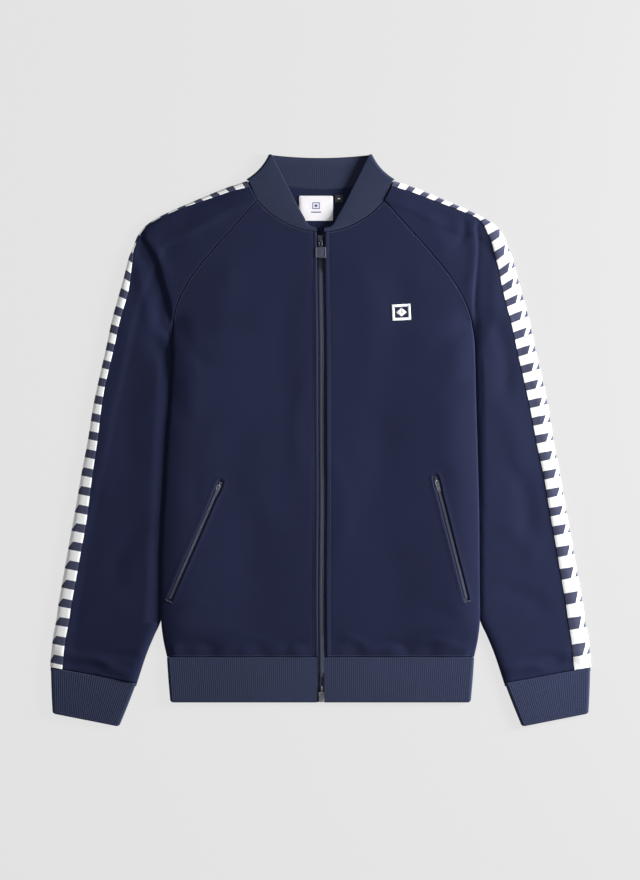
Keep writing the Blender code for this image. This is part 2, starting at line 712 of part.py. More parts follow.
def make_front_pull():
    """A wire link through the bridge, and the square moulded pull on it."""
    at = (0.0, SLIDER_Y, PULL_AXIS_Z)
    half, corner = 2.0, 0.6
    curve = bpy.data.curves.new("zip_link", "CURVE")
    curve.dimensions = "3D"
    curve.bevel_depth = LINK_WIRE * MM
    curve.bevel_resolution = 2
    line = curve.splines.new("POLY")
    ring = (
        (-half + corner, 0.0),
        (half - corner, 0.0),
        (half, -corner),
        (half, -LINK_LENGTH + corner),
        (half - corner, -LINK_LENGTH),
        (-half + corner, -LINK_LENGTH),
        (-half, -LINK_LENGTH + corner),
        (-half, -corner),
    )
    line.points.add(len(ring) - 1)
    for point, (x, y) in zip(line.points, ring):
        point.co = (x * MM, y * MM, 0.0, 1.0)
    line.use_cyclic_u = True
    curve.materials.append(material("zip_metal"))
    link = bpy.data.objects.new("zip_link", curve)
    link.location = [c * MM for c in at]
    bpy.context.scene.collection.objects.link(link)
    top = SLIDER_Y - LINK_LENGTH - LINK_WIRE - SEAM
    low = (-PULL_SIDE / 2, top - PULL_SIDE, PULL_AXIS_Z - PULL_THICK / 2)
    high = (PULL_SIDE / 2, top, PULL_AXIS_Z + PULL_THICK / 2)
    block("zip_pull", low, high, "moulding", bevel=0.8, at=at)


def along_line(side, across, step=9.0, over=0.0):
    """A grid of places along a pocket's line, from past its top to past its bottom."""
    top, bottom = np.array(POCKETS[side][0]), np.array(POCKETS[side][1])
    length = np.linalg.norm(bottom - top)
    down = (bottom - top) / length
    aside = np.array([-down[1], down[0]])
    reach = np.linspace(-over, length + over, int(round(length / step)) + 1)
    return top + reach[:, None, None] * down + np.array(across)[None, :, None] * aside


def heights_on(tree, plan):
    """Height of the cloth's upper face at each place."""
    found = np.zeros(plan.shape[:-1])
    for index in np.ndindex(found.shape):
        hit = tree.ray_cast((plan[index][0] * MM, plan[index][1] * MM, 1.0), (0.0, 0.0, -1.0))[0]
        found[index] = hit[2] / MM
    return found


def surface(front):
    """A tree of a front's faces, for heights_on."""
    mesh = front.data
    return BVHTree.FromPolygons([v.co for v in mesh.vertices], [p.vertices for p in mesh.polygons])


def make_pocket(side, front):
    """A zip in a slit: the tape under the cloth, its chain in the slit, and a slider with its pull."""
    tree = surface(front)
    tape = along_line(side, (-POCKET_TAPE_HALF, 0.0, POCKET_TAPE_HALF), over=3.0)
    level = heights_on(tree, tape) - CLOTH - SEAM
    wall("pocket_tape_" + side, lay(tape, level), lay(tape, level - POCKET_TAPE), "zip_tape")
    chain = along_line(side, (-POCKET_CHAIN_HALF, POCKET_CHAIN_HALF))
    level = heights_on(tree, chain)
    wall("pocket_chain_" + side, lay(chain, level + 0.1), lay(chain, level - CLOTH), "zip_metal")
    cut_slit(side, front)
    make_pocket_slider(side, tree)


def cut_slit(side, front):
    """Cuts the slit, with round ends, through the front."""
    slit = along_line(side, (-SLOT_HALF, SLOT_HALF), over=1.0)
    a, b = slit[0].mean(axis=0), slit[-1].mean(axis=0)
    down = (b - a) / np.linalg.norm(b - a)
    aside = np.array([-down[1], down[0]])
    outline = []
    for centre, start in ((b, 0.0), (a, 180.0)):
        for turn in np.radians(start + np.linspace(0.0, 180.0, 7)):
            outline.append(centre + SLOT_HALF * (np.cos(turn) * aside + np.sin(turn) * down))
    bm = bmesh.new()
    low = [bm.verts.new((x, y, -5.0)) for x, y in outline]
    high = [bm.verts.new((x, y, 25.0)) for x, y in outline]
    bm.faces.new(low)
    bm.faces.new(high[::-1])
    for k in range(len(outline)):
        n = (k + 1) % len(outline)
        bm.faces.new((low[k], high[k], high[n], low[n]))
    join_shape(front, add_object(front.name + "_slit_helper", bm, "cloth"), "DIFFERENCE")


def make_pocket_slider(side, tree):
    """The slider's upper wing and bridge, and the flat pull through it, lying down along the zip."""
    top, bottom = np.array(POCKETS[side][0]), np.array(POCKETS[side][1])
    down = (bottom - top) / np.linalg.norm(bottom - top)
    place = top + down * 5.0
    cloth = heights_on(tree, np.array([place]))[0]
    at = (0.0, 0.0, 0.0)
    plate = block("pocket_slider_" + side, (-3.5, -5.0, -2.2), (3.5, 5.0, -1.2), "zip_metal", bevel=0.3)
    arch = profile_block("pocket_bridge_helper_" + side, bridge_outline(1.9, 1.1, -1.8), 0.8, "zip_metal", at)
    join_shape(plate, arch, "UNION")
    width, length, thick = POCKET_PULL
    low, high = (-width / 2, -length, -thick / 2), (width / 2, thick / 2, thick / 2)
    pull = block("pocket_pull_" + side, low, high, "zip_metal", bevel=0.3)
    eye = block("pocket_eye_helper_" + side, (-1.2, -6.2, -5.0), (1.2, -thick / 2, 5.0), "zip_metal")
    join_shape(pull, eye, "DIFFERENCE")
    pivot = bpy.data.objects.new("pocket_axis_" + side, None)
    bpy.context.scene.collection.objects.link(pivot)
    pivot.location = (place[0] * MM, place[1] * MM, (cloth + POCKET_AXIS) * MM)
    pivot.rotation_euler = (0.0, 0.0, np.arctan2(down[0], -down[1]))
    for piece in (plate, arch, pull, eye):
        piece.parent = pivot


def make_badge(front):
    """The chest badge, laid on the front."""
    (width, height), turn = BADGE["size"], np.radians(BADGE["turn"])
    across, up = np.meshgrid(np.linspace(-width / 2, width / 2, 4), np.linspace(-height / 2, height / 2, 4))
    x = across * np.cos(turn) - up * np.sin(turn) + BADGE["centre"][0]
    y = across * np.sin(turn) + up * np.cos(turn) + BADGE["centre"][1]
    plan = np.stack([x, y], axis=-1)
    level = heights_on(surface(front), plan) + SEAM
    wall("badge", lay(plan, level + BADGE["thick"]), lay(plan, level), "white")


def make_label(name, label, finish):
    """A label lying on the inside of the back, under the neck."""
    (x, y), (width, height) = label["centre"], label["size"]
    low = CLOTH + SEAM
    corner = (x + width / 2, y + height / 2, low + label["thick"])
    block(name, (x - width / 2, y - height / 2, low), corner, finish)


for old in list(bpy.data.objects):
    bpy.data.objects.remove(old, do_unlink=True)
make_back()
fronts = {side: make_front(side) for side in SIDES}
bpy.context.view_layer.update()
make_badge(fronts["l"])
for side in SIDES:
    make_sleeve(side)
    make_cuff(side)
    make_pocket(side, fronts[side])
make_collar()
make_hem()
make_front_zip()
make_front_slider()
make_front_pull()
make_label("neck_label", NECK_LABEL, "white")
make_label("size_tab", SIZE_TAB, "black")
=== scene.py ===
import json
from math import cos, pi, radians, sin

import bmesh
import bpy
import numpy as np
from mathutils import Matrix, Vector


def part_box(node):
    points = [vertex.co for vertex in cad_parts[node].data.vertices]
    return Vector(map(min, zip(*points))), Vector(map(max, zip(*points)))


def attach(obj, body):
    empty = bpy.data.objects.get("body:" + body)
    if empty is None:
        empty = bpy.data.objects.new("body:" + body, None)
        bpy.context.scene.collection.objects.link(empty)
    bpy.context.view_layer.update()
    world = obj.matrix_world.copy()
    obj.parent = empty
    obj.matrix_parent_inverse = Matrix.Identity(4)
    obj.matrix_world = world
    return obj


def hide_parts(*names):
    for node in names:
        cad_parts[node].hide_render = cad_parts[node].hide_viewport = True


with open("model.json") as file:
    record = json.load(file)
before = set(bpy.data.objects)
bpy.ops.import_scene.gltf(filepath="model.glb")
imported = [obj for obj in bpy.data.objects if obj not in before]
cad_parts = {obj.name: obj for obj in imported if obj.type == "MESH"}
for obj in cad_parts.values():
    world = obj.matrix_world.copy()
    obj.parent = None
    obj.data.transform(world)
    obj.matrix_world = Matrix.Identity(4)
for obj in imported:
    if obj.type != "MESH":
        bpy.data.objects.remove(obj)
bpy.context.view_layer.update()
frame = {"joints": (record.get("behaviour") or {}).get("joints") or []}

# ---------------------------------------------------------------------------------------------------------
# Stage: a pale table top seen from straight above, a broad soft light from the upper right, and an even
# sky. Lengths in this file are in millimetres and become metres where a mesh is made.
MM = 0.001
FLOOR_HALF = 6000.0
FLOOR_SHADE = (0.05, 0.05, 0.05)
FLOOR_GLOW = 0.727
SKY_SHADE = 0.15
CAMERA_AT = (-0.7, 1.3, 2784.0)
LENS = 85.0
SENSOR = 36.0

bpy.ops.object.select_all(action="DESELECT")
bpy.ops.mesh.primitive_plane_add(size=2 * FLOOR_HALF * MM, location=(0, 0, 0))
floor = bpy.context.object
floor.name = "table_top"
bpy.ops.object.mode_set(mode="EDIT")
bpy.ops.mesh.subdivide(number_cuts=9)
bpy.ops.object.mode_set(mode="OBJECT")
floor_finish = bpy.data.materials.new("table_paint")
floor_finish.use_nodes = True
floor_shader = floor_finish.node_tree.nodes["Principled BSDF"]
floor_shader.inputs["Base Color"].default_value = (*FLOOR_SHADE, 1.0)
floor_shader.inputs["Roughness"].default_value = 0.95
floor_shader.inputs["Specular IOR Level"].default_value = 0.0
floor_shader.inputs["Emission Color"].default_value = (1.0, 1.0, 1.0, 1.0)
floor_shader.inputs["Emission Strength"].default_value = FLOOR_GLOW
floor.data.materials.append(floor_finish)


def area_light(name, place, size, watts, shade=(1.0, 1.0, 1.0)):
    """A square soft light that faces the middle of the table."""
    lamp = bpy.data.lights.new(name, "AREA")
    lamp.shape = "SQUARE"
    lamp.size = size
    lamp.energy = watts
    lamp.color = shade
    made = bpy.data.objects.new(name, lamp)
    made.location = place
    made.rotation_euler = (Vector((0, 0, 0)) - Vector(place)).to_track_quat("-Z", "Y").to_euler()
    bpy.context.scene.collection.objects.link(made)


area_light("key_softbox", (1.85, 0.3, 0.62), 0.6, 118.0)
area_light("fill_softbox", (-1.2, 0.9, 2.6), 1.6, 16.0)

sky = bpy.data.worlds.new("studio_sky")
sky.use_nodes = True
sky.node_tree.nodes["Background"].inputs["Color"].default_value = (SKY_SHADE, SKY_SHADE, SKY_SHADE, 1.0)
bpy.context.scene.world = sky
bpy.context.scene.view_settings.view_transform = "Standard"

camera = bpy.data.objects.new("camera", bpy.data.cameras.new("camera"))
camera.data.lens = LENS
camera.data.sensor_width = SENSOR
camera.location = [c * MM for c in CAMERA_AT]
bpy.context.scene.collection.objects.link(camera)
bpy.context.scene.camera = camera


# ---------------------------------------------------------------------------------------------------------
# Cloth: a double-knit jersey, dark navy and dry to the touch, its stitches in fine upright columns. The
# finishes are built here as sums on values, on each piece's own map, which is in metres along the grain.
CLOTH_SHADE = (0.0102, 0.0135, 0.0402)
CLOTH_WALES = 0.95
CLOTH_COURSES = 0.75


class Value:
    """A number inside a finish. Ordinary arithmetic on it adds Math nodes."""

    def __init__(self, finish, socket):
        self.finish, self.socket = finish, socket

    def _math(self, operation, *numbers):
        made = self.finish.node("ShaderNodeMath", {"operation": operation}, numbers)
        return Value(self.finish, made.outputs[0])

    def __add__(self, other):
        return self._math("ADD", self, other)

    def __sub__(self, other):
        return self._math("SUBTRACT", self, other)

    def __rsub__(self, other):
        return self._math("SUBTRACT", other, self)

    def __mul__(self, other):
        return self._math("MULTIPLY", self, other)

    def __truediv__(self, other):
        return self._math("DIVIDE", self, other)

    def __abs__(self):
        return self._math("ABSOLUTE", self)

    __radd__, __rmul__ = __add__, __mul__

    def sine(self):
        return self._math("SINE", self)

    def part(self):
        """What is left of it above its whole number."""
        return self._math("FRACT", self)

    def most(self, other):
        return self._math("MAXIMUM", self, other)

    def wave(self, pitch, shift=0.0):
        """0 to 1 and back, once in each pitch."""
        return (self * (2 * pi / pitch) + shift).sine() * 0.5 + 0.5

    def step(self, edge, soft):
        """0 below an edge and 1 above it, over a soft width."""
        made = self.finish.node(
            "ShaderNodeMapRange",
            {"interpolation_type": "SMOOTHSTEP"},
            {"Value": self, "From Min": edge - soft / 2, "From Max": edge + soft / 2},
        )
        return Value(self.finish, made.outputs[0])


class Finish:
    """One material, with a method that adds any node to it."""

    def __init__(self, name, shade, roughness, **constants):
        self.material = bpy.data.materials.new(name)
        self.material.use_nodes = True
        self.tree = self.material.node_tree
        self.shader = self.tree.nodes["Principled BSDF"]
        self.shader.inputs["Base Color"].default_value = (*shade, 1.0)
        self.shader.inputs["Roughness"].default_value = roughness
        for socket, value in constants.items():
            self.shader.inputs[socket.replace("_", " ")].default_value = value
        self.shade = (*shade, 1.0)

    def node(self, kind, settings=None, sockets=()):
        made = self.tree.nodes.new(kind)
        for setting, value in (settings or {}).items():
            setattr(made, setting, value)
        pairs = sockets.items() if isinstance(sockets, dict) else enumerate(sockets)
        for socket, value in pairs:
            value = getattr(value, "socket", value)
            if isinstance(value, bpy.types.NodeSocket):
                self.tree.links.new(value, made.inputs[socket])
            else:
                made.inputs[socket].default_value = value
        return made

    def grain(self):
        """The piece's own map, in millimetres: across, and along."""
        where = self.node("ShaderNodeUVMap", {"uv_map": "grain"})
        split = self.node("ShaderNodeSeparateXYZ", {}, [where.outputs[0]])
        return Value(self, split.outputs[0]) * 1000.0, Value(self, split.outputs[1]) * 1000.0

    def place(self):
        return self.node("ShaderNodeTexCoord").outputs["Object"]

    def noise(self, size, detail=3.0, vector=None):
        """Cloudy variation, 0 to 1, with patches of about this size in millimetres."""
        sockets = {"Vector": vector or self.place(), "Scale": 1000.0 / size, "Detail": detail}
        made = self.node("ShaderNodeTexNoise", {}, sockets)
        return Value(self, made.outputs[0])

    def mix(self, factor, one, other):
        """A colour between two colours."""
        made = self.node("ShaderNodeMix", {"data_type": "RGBA"}, {0: factor, 6: one, 7: other})
        return made.outputs[2]

    def tint(self, low, high, factor):
        """The base colour, made darker or lighter by a factor that runs from 0 to 1."""
        dark = tuple(c * low for c in self.shade[:3]) + (1.0,)
        light = tuple(c * high for c in self.shade[:3]) + (1.0,)
        return self.mix(factor, dark, light)

    def set(self, **sockets):
        for socket, value in sockets.items():
            self.tree.links.new(getattr(value, "socket", value), self.shader.inputs[socket.replace("_", " ")])

    def relief(self, height, depth, strength=1.0):
        """Raises the surface by a height from 0 to 1, depth millimetres at most."""
        sockets = {"Strength": strength, "Distance": depth * MM, "Height": height}
        self.set(Normal=self.node("ShaderNodeBump", {}, sockets).outputs[0])


def knit_finish(name, shade, wales, courses):
    """Fine columns of stitches, a dry surface and a faint uneven bloom."""
    made = Finish(
        name,
        shade,
        0.82,
        Specular_IOR_Level=0.12,
        Sheen_Weight=0.06,
        Sheen_Roughness=0.4,
        Sheen_Tint=(0.5, 0.58, 1.0, 1.0),
    )
    across, along = made.grain()
    stitch = across.wave(wales) * 0.6 + (along + across.wave(2 * wales) * 0.4).wave(courses) * 0.4
    fuzz = made.noise(1.6, 4.0)
    bloom = made.noise(95.0, 2.0)
    made.set(Base_Color=made.tint(0.72, 1.28, stitch * 0.45 + fuzz * 0.2 + bloom * 0.35))
    made.set(Roughness=0.74 + fuzz * 0.16)
    made.relief(stitch * 0.7 + fuzz * 0.3, 0.22, 0.6)
    return made.material


cloth_finish = knit_finish("navy_double_knit", CLOTH_SHADE, CLOTH_WALES, CLOTH_COURSES)

# ---------------------------------------------------------------------------------------------------------
# Body: a back in one piece and two fronts, cut from the jersey. The fronts lie on the back, and both lie on
# the sleeves, which are tucked under the sides, so that each side stands a little off the table.
SIDES = {"l": 1, "r": -1}
SEAM = 0.3
CLOTH = 1.6
BODY_GAP = 2.4
BODY_FULL = 2.6
BODY_EDGE = 30.0
BODY_LIFT = 4.6
LIFT_FULL = 14.0
LIFT_FADE = 120.0
BODY_SIDE = (  # x, y of the side seam, from the hem to the armhole
    (205.7, -289.0),
    (210.4, -266.0),
    (213.0, -243.0),
    (212.9, -200.0),
    (212.6, -155.0),
    (212.4, -110.0),
    (211.5, -65.0),
    (210.3, -20.0),
    (209.0, 25.0),
    (207.9, 65.0),
    (207.2, 98.0),
    (206.4, 124.0),
    (205.2, 141.0),
    (203.0, 158.0),
)
LIFT_ALONG = (-289.0, -243.0, 124.0, 158.0)
RIGHT_SIDE_IN = (  # y, how far in the wearer's right side lies
    (-150.0, 0.0),
    (-79.0, 3.0),
    (-12.0, 5.0),
    (55.0, 8.0),
    (95.0, 9.6),
    (125.0, 9.6),
    (160.0, 5.0),
    (195.0, 2.0),
    (230.0, 0.0),
)
ZIP_EDGE = 5.0
FRONT_NECK = ((5.0, 279.6), (26.8, 283.5), (46.9, 291.6), (67.0, 304.2), (85.1, 322.0))
BACK_NECK = ((0.0, 336.7), (34.0, 338.6), (67.0, 344.0))
SLEEVE = (  # inner x, inner y, outer x, outer y of a section, from the neck to the cuff
    (85.1, 322.0, 98.3, 348.2),
    (97.3, 308.1, 126.0, 339.0),
    (109.6, 294.2, 152.0, 328.5),
    (122.1, 280.5, 178.0, 317.5),
    (134.6, 266.7, 203.0, 306.5),
    (146.8, 252.7, 223.0, 296.2),
    (158.8, 238.6, 236.5, 285.8),
    (170.3, 224.0, 245.5, 273.5),
    (180.8, 208.8, 250.8, 259.0),
    (190.4, 193.0, 257.0, 244.5),
    (198.0, 175.6, 264.0, 217.0),
    (203.0, 158.0, 272.5, 187.0),
    (205.2, 141.0, 277.0, 171.0),
    (206.4, 124.0, 281.5, 152.0),
    (200.5, 98.0, 287.0, 125.0),
    (193.5, 60.0, 296.0, 86.0),
    (190.0, 20.0, 304.5, 46.0),
    (188.5, -25.0, 311.6, 1.0),
    (189.0, -70.0, 320.0, -43.0),
    (191.0, -115.0, 327.7, -88.0),
    (195.5, -160.0, 336.0, -133.0),
    (203.0, -203.0, 343.5, -176.0),
    (213.8, -241.0, 350.5, -215.0),
    (222.4, -260.0, 354.0, -240.0),
    (233.5, -287.0, 358.5, -264.5),
    (245.5, -323.5, 362.3, -302.0),
)
ARMPIT = 11
RESTS = 0.03
BACK_RAGLAN_SHIFT = (-18.1, 22.0)
BACK_RAGLAN_ROWS = 7

# How far the zip strays to the left on its way down, and the pocket slits from their tops to their bottoms
ZIP_STRAY = (  # y, x
    (-349.0, 1.4),
    (-307.0, 2.4),
    (-267.0, 1.6),
    (-213.0, 1.3),
    (-146.0, 1.7),
    (-79.0, 2.3),
    (-12.0, 1.8),
    (55.0, 1.5),
    (122.0, 1.8),
    (189.0, 0.8),
    (240.0, 0.1),
    (280.0, 0.0),
)
PLACKET_STITCH = 11.0
POCKETS = {"l": ((153.4, -48.2), (195.0, -211.7)), "r": ((-133.3, -55.0), (-201.7, -211.7))}
SLOT_HALF = 3.0
SLOT_OVER = 1.5
SLOT_FLARE = 1.2

# Folds of the fronts. A width above 0 in the last column makes a ridge rather than a trough.
FRONT_FOLDS = {  # x, y of both ends, depth, width, rise
    "l": (
        (198.0, 168.0, 150.0, 120.0, 0.9, 13.0, 0),
        (206.0, 110.0, 172.0, 60.0, 0.7, 12.0, 0),
        (178.0, 196.0, 120.0, 230.0, 0.5, 20.0, 1),
        (14.0, -20.0, 26.0, -150.0, 0.6, 12.0, 1),
        (44.0, 250.0, 60.0, 60.0, 0.9, 26.0, 1),
        (96.0, 226.0, 92.0, 120.0, 0.8, 24.0, 0),
        (70.0, 40.0, 56.0, -110.0, 0.9, 22.0, 0),
        (160.0, 60.0, 150.0, -60.0, 0.9, 22.0, 1),
        (30.0, -262.0, 62.0, -276.0, 0.9, 7.0, 1),
        (84.0, -271.0, 118.0, -279.0, 0.8, 6.0, 0),
        (128.0, -268.0, 186.0, -277.0, 1.0, 7.0, 1),
        (140.0, -225.0, 196.0, -258.0, 0.6, 13.0, 0),
        (96.0, 120.0, 120.0, -20.0, 0.5, 28.0, 1),
        (60.0, -120.0, 110.0, -230.0, 0.5, 26.0, 0),
    ),
    "r": (
        (198.0, 160.0, 158.0, 104.0, 1.0, 14.0, 0),
        (207.0, 84.0, 180.0, 20.0, 0.7, 13.0, 0),
        (170.0, 200.0, 112.0, 222.0, 0.6, 20.0, 1),
        (15.0, 90.0, 24.0, -40.0, 0.6, 12.0, 1),
        (36.0, 210.0, 40.0, 40.0, 0.8, 22.0, 0),
        (110.0, 240.0, 126.0, 110.0, 0.9, 24.0, 1),
        (76.0, 20.0, 64.0, -120.0, 0.9, 24.0, 1),
        (162.0, 40.0, 168.0, -90.0, 0.9, 20.0, 0),
        (20.0, -270.0, 50.0, -279.0, 0.9, 6.0, 0),
        (70.0, -266.0, 130.0, -276.0, 1.0, 8.0, 1),
        (146.0, -272.0, 190.0, -279.0, 0.9, 6.0, 0),
        (150.0, -216.0, 204.0, -244.0, 0.7, 13.0, 1),
        (84.0, 150.0, 100.0, 10.0, 0.5, 30.0, 1),
        (50.0, -60.0, 96.0, -190.0, 0.5, 28.0, 0),
    ),
}
BLOUSE = 1.5
BLOUSE_REACH = 13.0


def ease(t):
    t = np.clip(t, 0.0, 1.0)
    return t * t * (3.0 - 2.0 * t)


def dome(t):
    """0 to 1 as a quarter of an ellipse, steep at the start."""
    return np.sqrt(1.0 - (1.0 - np.clip(t, 0.0, 1.0)) ** 2)


def distance(points, line):
    """How far each point of a grid lies from a line of points."""
    line = np.array(line, float)
    best = np.full(points.shape[:-1], np.inf)
    for a, b in zip(line[:-1], line[1:]):
        t = np.clip(((points - a) @ (b - a)) / ((b - a) @ (b - a)), 0.0, 1.0)
        best = np.minimum(best, np.linalg.norm(points - (a + t[..., None] * (b - a)), axis=-1))
    return best


def smooth_at(points, at, along=None):
    """A smooth curve through some points, at places given along it from 0 to 1."""
    points = np.array(points, float)
    if along is None:
        steps = np.linalg.norm(np.diff(points, axis=0), axis=1)
        along = np.concatenate([[0.0], np.cumsum(steps)])
    slope = np.gradient(points, along, axis=0)
    at = np.asarray(at) * along[-1]
    k = np.clip(np.searchsorted(along, at, side="right") - 1, 0, len(points) - 2)
    h = (along[k + 1] - along[k])[:, None]
    t = (at - along[k])[:, None] / h
    ends = points[k] * (1 + 2 * t) * (1 - t) ** 2 + points[k + 1] * (3 - 2 * t) * t**2
    return ends + h * (slope[k] * t * (1 - t) ** 2 - slope[k + 1] * (1 - t) * t**2)


def steps(length, pitch, close_first=True, close_last=True):
    """Places from 0 to 1 along a length, a pitch apart, closer together at the ends that roll over."""
    near = np.array([0.35, 0.8, 1.4, 2.2, 3.4]) / length
    middle = np.linspace(0.0, 1.0, max(int(round(length / pitch)), 2) + 1)
    first, last = (near if close_first else near[:0]), (near if close_last else near[:0])
    low = first[-1] if close_first else 0.0
    high = last[-1] if close_last else 0.0
    middle = middle[(middle > low + 0.3 / length) & (middle < 1 - high - 0.3 / length)]
    ends = [[0.0]] if (close_first or middle[0] > 0) else [[]]
    tail = [[1.0]] if (close_last or middle[-1] < 1) else [[]]
    return np.concatenate(ends + [first, middle, 1 - last[::-1]] + tail)


def coons(bottom, top, left, right, u, v):
    """A grid of points between four edges, at places u across and v along."""
    u, v = u[None, :, None], v[:, None, None]
    ruled = (1 - v) * bottom + v * top + (1 - u) * left[:, None] + u * right[:, None]
    low_corners = (1 - u) * bottom[0] + u * bottom[-1]
    high_corners = (1 - u) * top[0] + u * top[-1]
    return ruled - (1 - v) * low_corners - v * high_corners


def lay(plan, height):
    return np.concatenate([plan, np.broadcast_to(height, plan.shape[:-1])[..., None]], axis=-1)


def mirrored(points, sign):
    return points * np.array([sign] + [1.0] * (points.shape[-1] - 1))


def travelled(points, axis):
    """How far along a grid's rows or columns each point lies."""
    step = np.linalg.norm(np.diff(points, axis=axis), axis=-1)
    start = np.zeros_like(np.take(step, [0], axis=axis))
    return np.concatenate([start, np.cumsum(step, axis=axis)], axis=axis)


def weave_sheet(name, points, finish, wall, turned=False, ring=False, grain=None):
    """A sheet from a grid of points in millimetres, with a map along its grain and a wall under its face."""
    rows, columns = points.shape[:2]
    across, along = grain if grain else (travelled(points, 1), travelled(points, 0))
    mesh = bpy.data.meshes.new(name)
    grid = np.arange(rows * columns).reshape(rows, columns)
    if ring:
        grid = np.concatenate([grid, grid[:1]])
    quads = np.stack([grid[:-1, :-1], grid[:-1, 1:], grid[1:, 1:], grid[1:, :-1]], axis=-1).reshape(-1, 4)
    if turned:
        quads = quads[:, ::-1]
    mesh.from_pydata((points.reshape(-1, 3) * MM).tolist(), [], quads.tolist())
    chart = mesh.uv_layers.new(name="grain")
    flat = np.stack([across.reshape(-1), along.reshape(-1)], axis=-1) * MM
    corners = np.empty(len(mesh.loops), int)
    mesh.loops.foreach_get("vertex_index", corners)
    chart.data.foreach_set("uv", flat[corners].reshape(-1))
    mesh.materials.append(finish)
    mesh.shade_smooth()
    made = bpy.data.objects.new(name, mesh)
    bpy.context.scene.collection.objects.link(made)
    if wall:
        thicken(made, wall)
    return made


def thicken(piece, wall):
    """Gives a sheet its wall, on the inner side of its face."""
    thick = piece.modifiers.new("wall", "SOLIDIFY")
    thick.thickness = wall * MM
    thick.offset = -1.0
    bpy.context.view_layer.objects.active = piece
    bpy.ops.object.modifier_apply(modifier="wall")
    piece.data.shade_smooth()
    piece.data.set_sharp_from_angle(angle=radians(50))


def plan_area(points):
    """Area of a grid of points, in square metres."""
    a, b, c, d = points[:-1, :-1], points[:-1, 1:], points[1:, 1:], points[1:, :-1]
    p, q = c - a, d - b
    if points.shape[-1] == 2:
        return 0.5 * np.abs(p[..., 0] * q[..., 1] - p[..., 1] * q[..., 0]).sum() * MM**2
    return 0.5 * np.linalg.norm(np.cross(p, q), axis=-1).sum() * MM**2


def settle(piece):
    """Lays the wearer's right side further in, with what joins it there, and rests the cloth on the table."""
    co = np.empty(len(piece.data.vertices) * 3)
    piece.data.vertices.foreach_get("co", co)
    co = co.reshape(-1, 3)
    x, y = -co[:, 0] / MM, co[:, 1] / MM
    moved = np.array(RIGHT_SIDE_IN)
    amount = np.interp(y, moved[:, 0], moved[:, 1])
    near = np.where(x < 200.0, ease((x - 140.0) / 50.0), 1 - ease((x - 212.0) / 40.0))
    co[:, 0] += amount * near * MM
    co[:, 2] = np.maximum(co[:, 2], RESTS * MM)
    piece.data.vertices.foreach_set("co", co.reshape(-1))
    piece.data.update()


SIDE_LINE = np.array(BODY_SIDE)
SECTIONS = np.array(SLEEVE)
FRONT_RAGLAN = SECTIONS[: ARMPIT + 1, :2]
merging = np.clip(1 - np.arange(ARMPIT + 1) / BACK_RAGLAN_ROWS, 0.0, 1.0)[:, None] ** 1.5
BACK_RAGLAN = FRONT_RAGLAN + merging * np.array(BACK_RAGLAN_SHIFT)


def side_at(y):
    return np.interp(y, SIDE_LINE[:, 1], SIDE_LINE[:, 0])


def body_half(centre, neck, raglan, pitch):
    """Half a body panel: rows from hem to neck, columns from the centre out to the side."""
    u = steps(205.0, pitch, close_first=centre > 0)
    rows_low = steps(447.0, pitch, close_last=False)[:-1]
    side = smooth_at(BODY_SIDE, rows_low)
    reach = centre + (side[:, :1] - centre) * u
    lower = np.stack([reach, np.broadcast_to(side[:, 1:], reach.shape)], axis=-1)
    v = steps(204.0, pitch, close_first=False)
    corner = np.array(BODY_SIDE[-1])
    bottom = np.stack([centre + (corner[0] - centre) * u, np.full(len(u), corner[1])], axis=-1)
    top = smooth_at(neck, u)
    left = bottom[0] + (top[0] - bottom[0]) * v[:, None]
    right = smooth_at(raglan[::-1], v)
    return np.concatenate([lower, coons(bottom, top, left, right, u, v)])


def body_lift(plan):
    x, y = np.abs(plan[..., 0]), plan[..., 1]
    along = ease(np.interp(y, LIFT_ALONG, (0.0, 1.0, 1.0, 0.0)))
    return BODY_LIFT * along * (1 - ease((side_at(y) - x - LIFT_FULL) / LIFT_FADE))


def body_gap(plan):
    far = distance(plan, BODY_SIDE) / BODY_EDGE
    full = BODY_FULL * np.sin(pi / 2 * np.clip(far / 1.3, 0, 1))
    above_hem = ease((plan[..., 1] - BODY_SIDE[0][1]) / 40.0)
    return SEAM + (BODY_GAP - SEAM) * dome(far) + full * above_hem


def rolled(far, radius=1.3):
    """How far a turned edge drops, by the distance from its seam."""
    return radius * (1 - dome(far / radius))


def folds(plan, table):
    """The sum of soft troughs and ridges, each fading out towards its ends."""
    total = np.zeros(plan.shape[:-1])
    for x0, y0, x1, y1, depth, width, rise in table:
        a, b = np.array((x0, y0)), np.array((x1, y1))
        run = (plan - a) @ (b - a) / ((b - a) @ (b - a))
        bow = 0.10 * np.linalg.norm(b - a) * np.sin(pi * np.clip(run, 0, 1))
        normal = np.array([-(b - a)[1], (b - a)[0]]) / np.linalg.norm(b - a)
        off = (plan - a) @ normal - bow
        along = np.exp(-(np.clip(np.abs(run - 0.5) - 0.28, 0, None) / 0.26) ** 2)
        total += (1 if rise else -1) * depth * along * np.exp(-((off / width) ** 2))
    return total


def zip_x(y):
    """Where the zip's middle is at a height along it."""
    stray = np.array(ZIP_STRAY)
    around = [np.interp(y + reach, stray[:, 0], stray[:, 1]) for reach in (-24.0, -12.0, 0.0, 12.0, 24.0)]
    return sum(around) / len(around)


def beside_pocket(plan, side):
    """How far down a pocket's line and to one side of it each place is, and the line's length."""
    top, bottom = (np.abs(np.array(p)) * (1, -1) for p in POCKETS[side])
    down = (bottom - top) / np.linalg.norm(bottom - top)
    offset = plan - top
    return offset @ down, offset @ np.array((-down[1], down[0])), np.linalg.norm(bottom - top)


def beyond_slot(plan, side):
    """Distance of each place from the edge of the pocket's slit."""
    down, aside, length = beside_pocket(plan, side)
    past = np.maximum(-SLOT_OVER - down, down - length - SLOT_OVER)
    return np.hypot(np.maximum(np.abs(aside) - SLOT_HALF, 0.0), np.maximum(past, 0.0))


